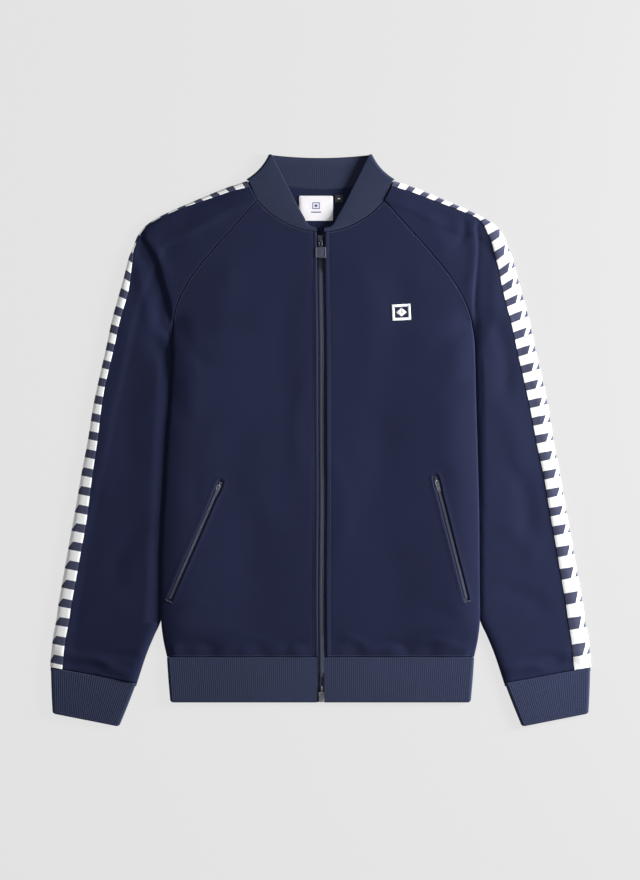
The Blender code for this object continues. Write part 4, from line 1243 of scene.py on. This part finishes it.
def metal_finish(name, shade, roughness, metallic):
    """Cast metal: fine pits, and a brushed grain along it."""
    made = Finish(name, shade, roughness, Metallic=metallic, Specular_IOR_Level=0.5)
    stretch = made.node("ShaderNodeMapping", {}, {"Vector": made.place(), "Scale": (1.0, 0.12, 1.0)})
    brushed = made.noise(0.35, 5.0, stretch.outputs[0])
    pits = made.noise(0.8, 4.0)
    made.set(Base_Color=made.tint(0.65, 1.25, brushed * 0.5 + pits * 0.5))
    made.set(Roughness=roughness - 0.08 + brushed * 0.22)
    made.relief(pits * 0.6 + brushed * 0.4, 0.06, 0.6)
    return made.material


gunmetal = metal_finish("painted_gunmetal", (0.034, 0.038, 0.058), 0.42, 0.3)
nickel = metal_finish("satin_nickel", (0.42, 0.43, 0.46), 0.30, 1.0)


def begin(name):
    """The shape just added, named and ready for edit mode."""
    made = bpy.context.object
    made.name = made.data.name = name
    bpy.ops.object.mode_set(mode="EDIT")
    bpy.ops.mesh.select_all(action="SELECT")
    return made


def rounded_box(name, low, high, bevel, segments=2):
    """A box between two corners with its edges rounded. With no bevel it is left in edit mode."""
    low, high = np.array(low) * MM, np.array(high) * MM
    bpy.ops.object.select_all(action="DESELECT")
    bpy.ops.mesh.primitive_cube_add(size=1.0)
    made = begin(name)
    bpy.ops.transform.resize(value=tuple(high - low))
    bpy.ops.transform.translate(value=tuple((high + low) / 2))
    if bevel:
        bpy.ops.mesh.bevel(offset=bevel * MM, segments=segments, affect="EDGES")
        bpy.ops.object.mode_set(mode="OBJECT")
    return made


def pick(piece, test, faces=True):
    """Selects the faces, or the points, whose place in millimetres passes a test, in edit mode."""
    bm = bmesh.from_edit_mesh(piece.data)
    bpy.ops.mesh.select_all(action="DESELECT")
    bm.select_mode = {"FACE"} if faces else {"VERT"}
    for part in bm.faces if faces else bm.verts:
        where = (part.calc_center_median() if faces else part.co) / MM
        part.select_set(bool(test(where)))
    bm.select_flush_mode()
    bmesh.update_edit_mesh(piece.data)


def finished(piece, finish, node=None, body="jacket", angle=40):
    """Gives a hard piece its finish and body, and lets it stand for a CAD node."""
    piece.data.materials.clear()
    piece.data.materials.append(finish)
    bpy.ops.object.select_all(action="DESELECT")
    piece.select_set(True)
    bpy.context.view_layer.objects.active = piece
    bpy.ops.object.shade_smooth_by_angle(angle=radians(angle))
    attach(piece, body)
    if node:
        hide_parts(node)
    return piece


def joined(name, pieces):
    bpy.ops.object.select_all(action="DESELECT")
    for piece in pieces:
        piece.select_set(True)
    bpy.context.view_layer.objects.active = pieces[0]
    bpy.ops.object.join()
    pieces[0].name = pieces[0].data.name = name
    return pieces[0]


def coil(name, half, pitch, top, deep, length):
    """Two rows of rounded teeth that mesh, running down from the origin."""
    teeth = []
    for sign in (1, -1):
        middle = -pitch * (0.25 if sign > 0 else 0.75)
        low, high = (-0.35, middle - 0.29 * pitch, top - deep), (half, middle + 0.29 * pitch, top)
        if sign < 0:
            low, high = (-high[0], low[1], low[2]), (-low[0], high[1], high[2])
        tooth = rounded_box(name, low, high, 0.22 * pitch, 2)
        teeth.append(tooth)
    made = joined(name, teeth)
    rows = made.modifiers.new("rows", "ARRAY")
    rows.count = int(length / pitch)
    rows.use_relative_offset = False
    rows.use_constant_offset = True
    rows.constant_offset_displace = (0.0, -pitch * MM, 0.0)
    bpy.ops.object.modifier_apply(modifier="rows")
    return made


def moved_points(piece, change):
    """Moves every point of a piece by a function of all of them, in millimetres."""
    co = np.empty(len(piece.data.vertices) * 3)
    piece.data.vertices.foreach_get("co", co)
    piece.data.vertices.foreach_set("co", (change(co.reshape(-1, 3) / MM) * MM).reshape(-1))
    piece.data.update()


def stood(y):
    """How far the closed zip stands up between the fronts, below its pull and above its end."""
    return ZIP_STAND * ease((236.0 - y) / 14.0) * ease((y + 322.0) / 14.0)


def stray(points):
    points[:, 0] += zip_x(points[:, 1])
    points[:, 2] += stood(points[:, 1])
    return points


chain = coil("front_coil", CHAIN_HALF, CHAIN_PITCH, CHAIN_TOP, 1.9, ZIP_TOP - ZIP_BOTTOM - 14.0)
moved_points(chain, lambda points: stray(points + (0.0, ZIP_TOP, 0.0)))
finished(chain, coil_finish.material, "zip_chain")

for side, sign in SIDES.items():
    y = np.linspace(ZIP_BOTTOM, ZIP_TOP + 4.0, 260)
    reach = np.array((0.5, 2.8, 3.4, 6.0, 10.0, ZIP_TAPE_OUT))
    plan = np.stack(np.broadcast_arrays(reach[None] * sign + zip_x(y)[:, None], y[:, None]), axis=-1)
    height = ZIP_TAPE_TOP + np.array((-0.6, -0.3, 0.35, 0.25, 0.0, 0.0)) + stood(y)[:, None] * (reach < 6.5)
    points = lay(plan, height)
    tape = weave_sheet("zip_weave_" + side, points, zip_weave.material, 0.5, sign < 0)
    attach(tape, "jacket")
    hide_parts("zip_tape_" + side)
    "front_panel_" + side

slider_at = np.array((0.0, SLIDER_Y, 0.0))
wing = rounded_box("slider_wing", (-SLIDER_HALF, -6.0, 5.4), (SLIDER_HALF, 7.0, 6.5), 0)
pick(wing, lambda c: c.y < -5.9)
bpy.ops.transform.resize(value=(0.74, 1.0, 1.0))
pick(wing, lambda c: c.z > 6.4)
bpy.ops.mesh.inset(thickness=1.0 * MM)
bpy.ops.transform.translate(value=(0.0, 0.0, 0.35 * MM))
bpy.ops.mesh.select_all(action="SELECT")
bpy.ops.mesh.bevel(offset=0.25 * MM, segments=2, affect="EDGES")
bpy.ops.object.mode_set(mode="OBJECT")
lower = rounded_box("slider_lower", (-SLIDER_HALF, -6.0, 1.95), (SLIDER_HALF, 7.0, 2.65), 0.25)
post = rounded_box("slider_post", (-1.1, 4.2, 2.3), (1.1, 6.8, 5.8), 0.3)
flanges = [
    rounded_box("slider_flange", (x - 0.35, -5.0, 4.3), (x + 0.35, 3.0, 5.6), 0.2) for x in (-3.7, 3.7)
]
bpy.ops.object.select_all(action="DESELECT")
bpy.ops.mesh.primitive_torus_add(
    major_segments=32, minor_segments=10, major_radius=2.9 * MM, minor_radius=0.62 * MM
)
arch = begin("slider_arch")
bpy.ops.transform.rotate(value=pi / 2, orient_axis="Y", center_override=(0.0, 0.0, 0.0))
bpy.ops.transform.translate(value=(0.0, 0.0, 6.3 * MM))
bpy.ops.mesh.bisect(
    plane_co=(0.0, 0.0, 6.2 * MM), plane_no=(0.0, 0.0, -1.0), use_fill=True, clear_outer=True
)
bpy.ops.object.mode_set(mode="OBJECT")
slider = joined("front_slider", [wing, lower, post, arch] + flanges)
moved_points(slider, lambda points: points + slider_at)
finished(slider, gunmetal, "zip_slider")

bpy.ops.object.select_all(action="DESELECT")
bpy.ops.mesh.primitive_torus_add(
    major_segments=36, minor_segments=10, major_radius=2.0 * MM, minor_radius=LINK_WIRE * MM
)
link = begin("pull_link")
pick(link, lambda c: c.y < -0.01, faces=False)
bpy.ops.transform.translate(value=(0.0, -(LINK_LENGTH - 4.0) * MM, 0.0))
bpy.ops.object.mode_set(mode="OBJECT")
moved_points(link, lambda points: points + (0.0, SLIDER_Y - 2.0, AXIS_Z))
finished(link, gunmetal, "zip_link", "front_zip_pull", 60)

moulding = Finish("moulded_rubber", (0.044, 0.049, 0.078), 0.5, Specular_IOR_Level=0.35)
speckle = moulding.noise(0.7, 5.0)
moulding.set(Base_Color=moulding.tint(0.8, 1.2, speckle), Roughness=0.42 + speckle * 0.16)
moulding.relief(speckle, 0.08, 0.5)

low, high = (Vector(corner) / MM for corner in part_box("zip_pull"))
pull = rounded_box("square_pull", low, high, 0)
bpy.ops.mesh.bevel(offset=0.7 * MM, segments=3, affect="EDGES")
pick(pull, lambda c: c.z > high.z - 0.01)
bpy.ops.mesh.inset(thickness=1.0 * MM)
bpy.ops.mesh.inset(thickness=0.3 * MM)
bpy.ops.transform.translate(value=(0.0, 0.0, -0.35 * MM))
bpy.ops.object.mode_set(mode="OBJECT")
middle = (low + high) / 2
crossing = []
for at in (middle.y - 2.8, middle.y, middle.y + 2.8):
    corners = (-4.2, at - 0.55, high.z - 0.6), (4.2, at + 0.55, high.z - 0.05)
    crossing.append(rounded_box("pull_rib", *corners, 0.2))
pull = joined("square_pull", [pull] + crossing)
finished(pull, moulding.material, "zip_pull", "front_zip_pull")

low, high = (Vector(corner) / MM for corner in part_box("zip_box"))
box_x = zip_x(np.array([ZIP_BOTTOM + 6.0]))[0]
aside = Vector((box_x, 0.0, 0.0))
bottom_box = rounded_box("zip_end_box", low + aside, high + aside, 0)
bpy.ops.mesh.bevel(offset=0.5 * MM, segments=2, affect="EDGES")
pick(bottom_box, lambda c: c.z > high.z - 0.01)
bpy.ops.mesh.inset(thickness=0.9 * MM)
bpy.ops.transform.translate(value=(0.0, 0.0, -0.3 * MM))
bpy.ops.object.mode_set(mode="OBJECT")
corners = (box_x - 1.0, high.y - 2.0, high.z - 1.2), (box_x + 1.0, high.y + 8.0, high.z - 0.2)
pin = rounded_box("zip_pin", *corners, 0.4)
bottom_box = joined("zip_end_box", [bottom_box, pin])
finished(bottom_box, nickel, "zip_box")

# ---------------------------------------------------------------------------------------------------------
# Pocket zips: small coil zips set into slits with turned lips. Each has a nickel slider at the top, whose
# flat pull lies down along the chain, and a bar tack across its lower end.
POCKET_PITCH = 1.45
POCKET_HALF = 1.9
POCKET_SINK = 0.75
POCKET_TAPE_HALF = 6.0
PULL_LONG = 14.5
PULL_WIDE = 4.6


def down_pocket(side, local):
    """Puts points given as (across, up, height above the cloth) on a pocket's line."""
    top, bottom = (np.array(p) for p in POCKETS[side])
    down = (bottom - top) / np.linalg.norm(bottom - top)
    aside = np.array((-down[1], down[0]))
    plan = top + local[:, :1] * aside - local[:, 1:2] * down
    ground = front_top(plan * (SIDES[side], 1), side)
    return lay(plan, ground + local[:, 2])


joints = {joint["name"]: joint for joint in frame["joints"]}
for side, sign in SIDES.items():
    _, _, length = beside_pocket(np.zeros((1, 2)), side)
    teeth = coil("pocket_coil_" + side, POCKET_HALF, POCKET_PITCH, -POCKET_SINK + 0.35, 1.1, length - 1.0)
    moved_points(teeth, lambda points: down_pocket(side, points))
    finished(teeth, coil_finish.material, "pocket_chain_" + side)

    reach = np.linspace(3.0, -length - 3.0, 60)
    wide = np.array((-POCKET_TAPE_HALF, -3.0, -1.8, 0.0, 1.8, 3.0, POCKET_TAPE_HALF))
    local = np.stack(np.broadcast_arrays(wide[None], reach[:, None], np.full((1, 1), -1.75)), axis=-1)
    tape = down_pocket(side, local.reshape(-1, 3)).reshape(*local.shape)
    tape = weave_sheet("pocket_weave_" + side, tape, zip_weave.material, 0.4, False)
    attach(tape, "jacket")
    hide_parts("pocket_tape_" + side)
    (length + 6.0) * MM
    "front_panel_" + side

    joint = joints["pocket_zip_pull_" + side + "_turn"]
    axis = np.array(joint["pos_m"]) / MM
    up = np.array((joint["axis"][1], -joint["axis"][0]))

    def stand(points):
        """Turns points about the slider's middle and puts them at the pull's axis."""
        plan = axis[:2] + points[:, :1] * np.array((up[1], -up[0])) + points[:, 1:2] * up
        return lay(plan, axis[2] + points[:, 2])

    body = rounded_box("pocket_slider", (-3.4, -5.0, -2.3), (3.4, 5.2, -1.1), 0)
    pick(body, lambda c: c.y < -4.9)
    bpy.ops.transform.resize(value=(0.66, 1.0, 1.0))
    pick(body, lambda c: c.z > -1.2)
    bpy.ops.mesh.inset(thickness=0.8 * MM)
    bpy.ops.transform.translate(value=(0.0, 0.0, 0.3 * MM))
    bpy.ops.mesh.select_all(action="SELECT")
    bpy.ops.mesh.bevel(offset=0.3 * MM, segments=2, affect="EDGES")
    bpy.ops.object.mode_set(mode="OBJECT")
    under = rounded_box("pocket_slider_under", (-3.0, -4.2, -3.4), (3.0, 4.6, -2.2), 0.3)
    bpy.ops.object.select_all(action="DESELECT")
    bpy.ops.mesh.primitive_torus_add(
        major_segments=28, minor_segments=8, major_radius=2.3 * MM, minor_radius=0.5 * MM
    )
    arch = begin("pocket_arch")
    bpy.ops.transform.rotate(value=pi / 2, orient_axis="Y", center_override=(0.0, 0.0, 0.0))
    bpy.ops.transform.translate(value=(0.0, 0.0, -1.2 * MM))
    bpy.ops.mesh.bisect(
        plane_co=(0.0, 0.0, -1.25 * MM), plane_no=(0.0, 0.0, -1.0), use_fill=True, clear_outer=True
    )
    bpy.ops.object.mode_set(mode="OBJECT")
    body = joined("pocket_nickel_slider_" + side, [body, under, arch])
    moved_points(body, stand)
    finished(body, nickel, "pocket_slider_" + side)

    rails = [
        rounded_box("rail", (x - 0.55, -PULL_LONG, -0.5), (x + 0.55, 0.5, 0.5), 0.25)
        for x in (-PULL_WIDE / 2 + 0.55, PULL_WIDE / 2 - 0.55)
    ]
    ends = [
        rounded_box("bar", (-PULL_WIDE / 2 + 0.2, y - 0.5, -0.5), (PULL_WIDE / 2 - 0.2, y + 0.5, 0.5), 0.3)
        for y in (0.0, -5.6)
    ]
    corners = (-PULL_WIDE / 2 + 0.4, -PULL_LONG + 0.2, -0.4), (PULL_WIDE / 2 - 0.4, -8.2, 0.3)
    ends.append(rounded_box("leaf", *corners, 0.2))
    grip = joined("pocket_nickel_pull_" + side, rails + ends)
    moved_points(grip, stand)
    finished(grip, nickel, "pocket_pull_" + side, "pocket_zip_pull_" + side)

# ---------------------------------------------------------------------------------------------------------
# Stitching: rows of navy lock stitch beside the seams, each stitch a short fat thread pulled into the cloth,
# and a bar tack of close stitches across the foot of each pocket.
STITCH = 2.5
STITCH_GAP = 0.9
THREAD = 0.24
THREAD_SHADE = (0.015, 0.019, 0.050)

thread_finish = Finish("navy_thread", THREAD_SHADE, 0.5, Sheen_Weight=0.3, Specular_IOR_Level=0.4)
twist = thread_finish.noise(0.5, 3.0)
thread_finish.set(Base_Color=thread_finish.tint(0.7, 1.35, twist), Roughness=0.42 + twist * 0.2)


def stitched(name, lines, finish, length=STITCH, gap=STITCH_GAP, radius=THREAD):
    """Rows of stitches along lines of points in millimetres, as one mesh."""
    ends = []
    for line in lines:
        run = travelled(line, 0)
        count = int(run[-1] / (length + gap))
        if count < 1:
            continue
        start = np.arange(count) * (length + gap) + (run[-1] - count * (length + gap) + gap) / 2
        for at in (start, start + length):
            ends.append(np.stack([np.interp(at, run, line[:, k]) for k in range(3)], axis=-1))
    first, last = np.concatenate(ends[0::2]), np.concatenate(ends[1::2])
    along = last - first
    along /= np.linalg.norm(along, axis=1)[:, None]
    aside = np.cross(along, (0.0, 0.0, 1.0))
    aside /= np.linalg.norm(aside, axis=1)[:, None]
    up = np.cross(aside, along)
    sides = 6
    turn = np.arange(sides) * 2 * pi / sides
    points, rings = [first - up * radius * 0.8], ((0.06, 0.62), (0.3, 1.0), (0.7, 1.0), (0.94, 0.62))
    for part, size in rings:
        middle = first + (last - first) * part - up * radius * (0.25 - 0.25 * sin(pi * part))
        for angle in turn:
            points.append(middle + (aside * cos(angle) + up * sin(angle)) * radius * size)
    points.append(last - up * radius * 0.8)
    points = np.stack(points, axis=1)
    faces = [(0, 1 + (k + 1) % sides, 1 + k) for k in range(sides)]
    for ring in range(len(rings) - 1):
        base = 1 + ring * sides
        for k in range(sides):
            n = (k + 1) % sides
            faces.append((base + k, base + n, base + sides + n, base + sides + k))
    tail, base = points.shape[1] - 1, 1 + (len(rings) - 1) * sides
    faces += [(tail, base + k, base + (k + 1) % sides) for k in range(sides)]
    mesh = bpy.data.meshes.new(name)
    whole = [tuple(i + s * points.shape[1] for i in face) for s in range(len(points)) for face in faces]
    mesh.from_pydata((points.reshape(-1, 3) * MM).tolist(), [], whole)
    mesh.materials.append(finish)
    mesh.shade_smooth()
    made = bpy.data.objects.new(name, mesh)
    bpy.context.scene.collection.objects.link(made)
    settle(made)
    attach(made, "jacket")
    return made


def on_front(side, plan, lift=0.1):
    """A line on a front, given in the left front's place."""
    plan = np.array(plan, float)
    return mirrored(lay(plan, front_height(plan, side) + lift), SIDES[side])


def beside(line, offset):
    """A line moved to its left by an offset."""
    return line + square_to(line) * offset


for side, sign in SIDES.items():
    raglan = smooth_at(FRONT_RAGLAN, np.linspace(0.01, 0.99, 90))
    lines = [on_front(side, beside(raglan, -1.9), 0.12)]
    neck = smooth_at(FRONT_NECK, np.linspace(0.04, 0.98, 60))
    lines.append(on_front(side, beside(neck, -2.2), 0.12))
    y = np.linspace(BODY_SIDE[0][1] + 2.0, FRONT_NECK[0][1] - 3.0, 260)
    placket = np.stack([PLACKET_STITCH + sign * zip_x(y), y], axis=-1)
    lines.append(on_front(side, placket, 0.12))
    x = np.linspace(ZIP_EDGE + 4.0, BODY_SIDE[0][0] - 4.0, 90)
    lines.append(on_front(side, np.stack([x, np.full(len(x), BODY_SIDE[0][1] + 2.2)], axis=-1), 0.12))
    reach = np.linspace(1.0, -beside_pocket(np.zeros((1, 2)), side)[2] - 2.0, 70)
    for offset in (-SLOT_HALF - 3.6, SLOT_HALF + 3.6):
        local = np.stack([np.full(70, offset), reach, np.full(70, 0.15)], axis=-1)
        lines.append(down_pocket(side, local))
    stitched("seam_stitches_" + side, lines, thread_finish.material)

    tack = []
    for at in np.arange(-4.6, 4.7, 0.42):
        foot = -beside_pocket(np.zeros((1, 2)), side)[2] - 2.6
        local = np.array([(at, foot - 1.1, 0.45), (at + 0.2, foot, 0.75), (at, foot + 1.1, 0.45)])
        tack.append(down_pocket(side, local))
    stitched("bar_tack_" + side, tack, thread_finish.material, 2.0, 0.1, 0.3)

# ---------------------------------------------------------------------------------------------------------
# Badge, neck label and size tab. The badge is a patch of navy felt under white satin stitch, a frame round a
# lozenge. The label is white woven satin with a small printed frame; the tab is black with a white bar.
BADGE = {"centre": (107.9, 172.0), "size": (25.0, 21.6), "turn": 3.0}
BADGE_FRAME = 3.6
BADGE_RISE = 0.9
LOZENGE = (7.4, 5.9)

satin = Finish("white_satin_thread", (0.93, 0.93, 0.92), 0.45, Sheen_Weight=0.2, Specular_IOR_Level=0.5)
across, along = satin.grain()
strand = across.wave(0.55) * 0.75 + satin.noise(0.5) * 0.25
satin.set(Base_Color=satin.tint(0.86, 1.04, strand), Roughness=0.36 + strand * 0.2)
satin.relief(strand, 0.2, 0.8)

felt = Finish("navy_felt", (0.018, 0.022, 0.052), 0.9, Specular_IOR_Level=0.1)
nap = felt.noise(0.9, 5.0)
felt.set(Base_Color=felt.tint(0.6, 1.4, nap))
felt.relief(nap, 0.3, 0.7)


def on_badge(points):
    """Puts points given as (across, up, height) on the chest."""
    turn = radians(BADGE["turn"])
    x = points[..., 0] * cos(turn) - points[..., 1] * sin(turn) + BADGE["centre"][0]
    y = points[..., 0] * sin(turn) + points[..., 1] * cos(turn) + BADGE["centre"][1]
    plan = np.stack([x, y], axis=-1)
    return lay(plan, front_top(plan, "l") + points[..., 2])


def satin_bar(name, inner, outer, rise):
    """A padded bar of satin stitch between two lines of (across, up) points."""
    inner, outer = np.array(inner, float), np.array(outer, float)
    part = np.array((0.0, 0.02, 0.1, 0.25, 0.5, 0.75, 0.9, 0.98, 1.0))
    swell = np.array((0.0, 0.35, 0.7, 0.92, 1.0, 0.92, 0.7, 0.35, 0.0))
    count = max(int(np.linalg.norm(outer[-1] - outer[0]) / 0.55), 6)
    step = np.linspace(0, 1, count)[:, None]
    low = inner[0] * (1 - step) + inner[-1] * step
    high = outer[0] * (1 - step) + outer[-1] * step
    grid = low[:, None] * (1 - part[None, :, None]) + high[:, None] * part[None, :, None]
    height = np.broadcast_to(0.15 + rise * swell, grid.shape[:2]).copy()
    height[[0, -1]] = 0.15
    local = np.concatenate([grid, height[..., None]], axis=-1)
    chart = (np.broadcast_to(step * np.linalg.norm(outer[-1] - outer[0]), height.shape), travelled(grid, 1))
    run, across = outer[-1] - outer[0], inner[0] - outer[0]
    turned = run[0] * across[1] < run[1] * across[0]
    return weave_sheet(name, on_badge(local), satin.material, 0.0, turned, grain=chart)


half_wide, half_high = BADGE["size"][0] / 2, BADGE["size"][1] / 2
outer_corners = np.array([(-1.0, -1.0), (1.0, -1.0), (1.0, 1.0), (-1.0, 1.0)]) * (half_wide, half_high)
inner_corners = outer_corners - np.sign(outer_corners) * BADGE_FRAME
bars = []
for k in range(4):
    ends = [k, (k + 1) % 4]
    bars.append(satin_bar("badge_frame", inner_corners[ends], outer_corners[ends], BADGE_RISE))
for sign in (1, -1):
    point = np.array((0.0, LOZENGE[1] * sign))
    for start, end in ((-LOZENGE[0], -0.01), (0.01, LOZENGE[0])):
        lines = ((start, 0.0), point), ((end, 0.0), point + (0.01, 0.0))
        bars.append(satin_bar("badge_lozenge", *lines, BADGE_RISE * 0.9))
badge = joined("badge_satin", bars)
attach(badge, "jacket")
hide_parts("badge")
u = np.linspace(-1, 1, 18)
across, up = np.meshgrid(u * (half_wide - 0.3), u * (half_high - 0.3))
ground = lay(np.stack([across, up], axis=-1), 0.35)
patch = weave_sheet("badge_felt", on_badge(ground), felt.material, 0.3)
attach(patch, "jacket")


def label_finish(name, ground, mark, shapes):
    """Woven satin with marks given as boxes: across, up, half width, half height and line, or 0 if solid."""
    made = Finish(name, ground, 0.5, Sheen_Weight=0.15, Specular_IOR_Level=0.4)
    across, along = made.grain()
    total = None
    for x, y, wide, high, line in shapes:
        box = (wide - abs(across - x)).step(0.0, 0.25) * (high - abs(along - y)).step(0.0, 0.25)
        if line:
            wide, high = wide - line, high - line
            box = box - (wide - abs(across - x)).step(0.0, 0.25) * (high - abs(along - y)).step(0.0, 0.25)
        total = box if total is None else total.most(box)
    thread = along.wave(0.5) * 0.6 + across.wave(0.9) * 0.2 + made.noise(0.8) * 0.2
    light = made.tint(0.93, 1.05, thread)
    made.set(Base_Color=made.mix(total, light, (*mark, 1.0)), Roughness=0.42 + thread * 0.2)
    made.relief(thread, 0.12, 0.6)
    return made.material


def laid_label(name, node, centre, size, finish, corner, bulge):
    """A soft label with round corners, sewn on the inside of the back."""
    wide, high = size[0] / 2, size[1] / 2
    u, v = np.meshgrid(np.linspace(-1, 1, 30), np.linspace(-1, 1, 24))
    x, y = u * wide, v * high
    over = np.hypot(np.maximum(np.abs(x) - wide + corner, 0), np.maximum(np.abs(y) - high + corner, 0))
    pull_in = np.where(over > corner, corner / np.maximum(over, 1e-6), 1.0)
    x = np.where(over > corner, np.sign(x) * ((wide - corner) + (np.abs(x) - wide + corner) * pull_in), x)
    y = np.where(over > corner, np.sign(y) * ((high - corner) + (np.abs(y) - high + corner) * pull_in), y)
    edge = np.minimum(wide - np.abs(x), high - np.abs(y))
    height = 2.3 + bulge * dome(edge / 8.0) + 0.12 * np.sin(x / 4.1) * np.sin(y / 6.0 + 1.0)
    plan = np.stack([x + centre[0], y + centre[1]], axis=-1)
    made = weave_sheet(name, lay(plan, height), finish, 0.35, grain=(x, y))
    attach(made, "jacket")
    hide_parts(node)
    return made


label_print = label_finish(
    "label_satin",
    (0.78, 0.76, 0.79),
    (0.055, 0.07, 0.22),
    ((0.0, 3.4, 5.0, 4.4, 1.1), (0.0, 3.4, 1.9, 1.6, 0), (0.0, -5.2, 6.6, 0.75, 0)),
)
laid_label("woven_label", "neck_label", (-6.0, 311.5), (45.5, 33.5), label_print, 2.2, 0.7)
tab_print = label_finish("tab_satin", (0.016, 0.017, 0.020), (0.85, 0.85, 0.85), ((0.0, 0.0, 1.7, 0.75, 0),))
laid_label("woven_size_tab", "size_tab", (24.8, 324.4), (11.0, 10.2), tab_print, 0.6, 0.3)
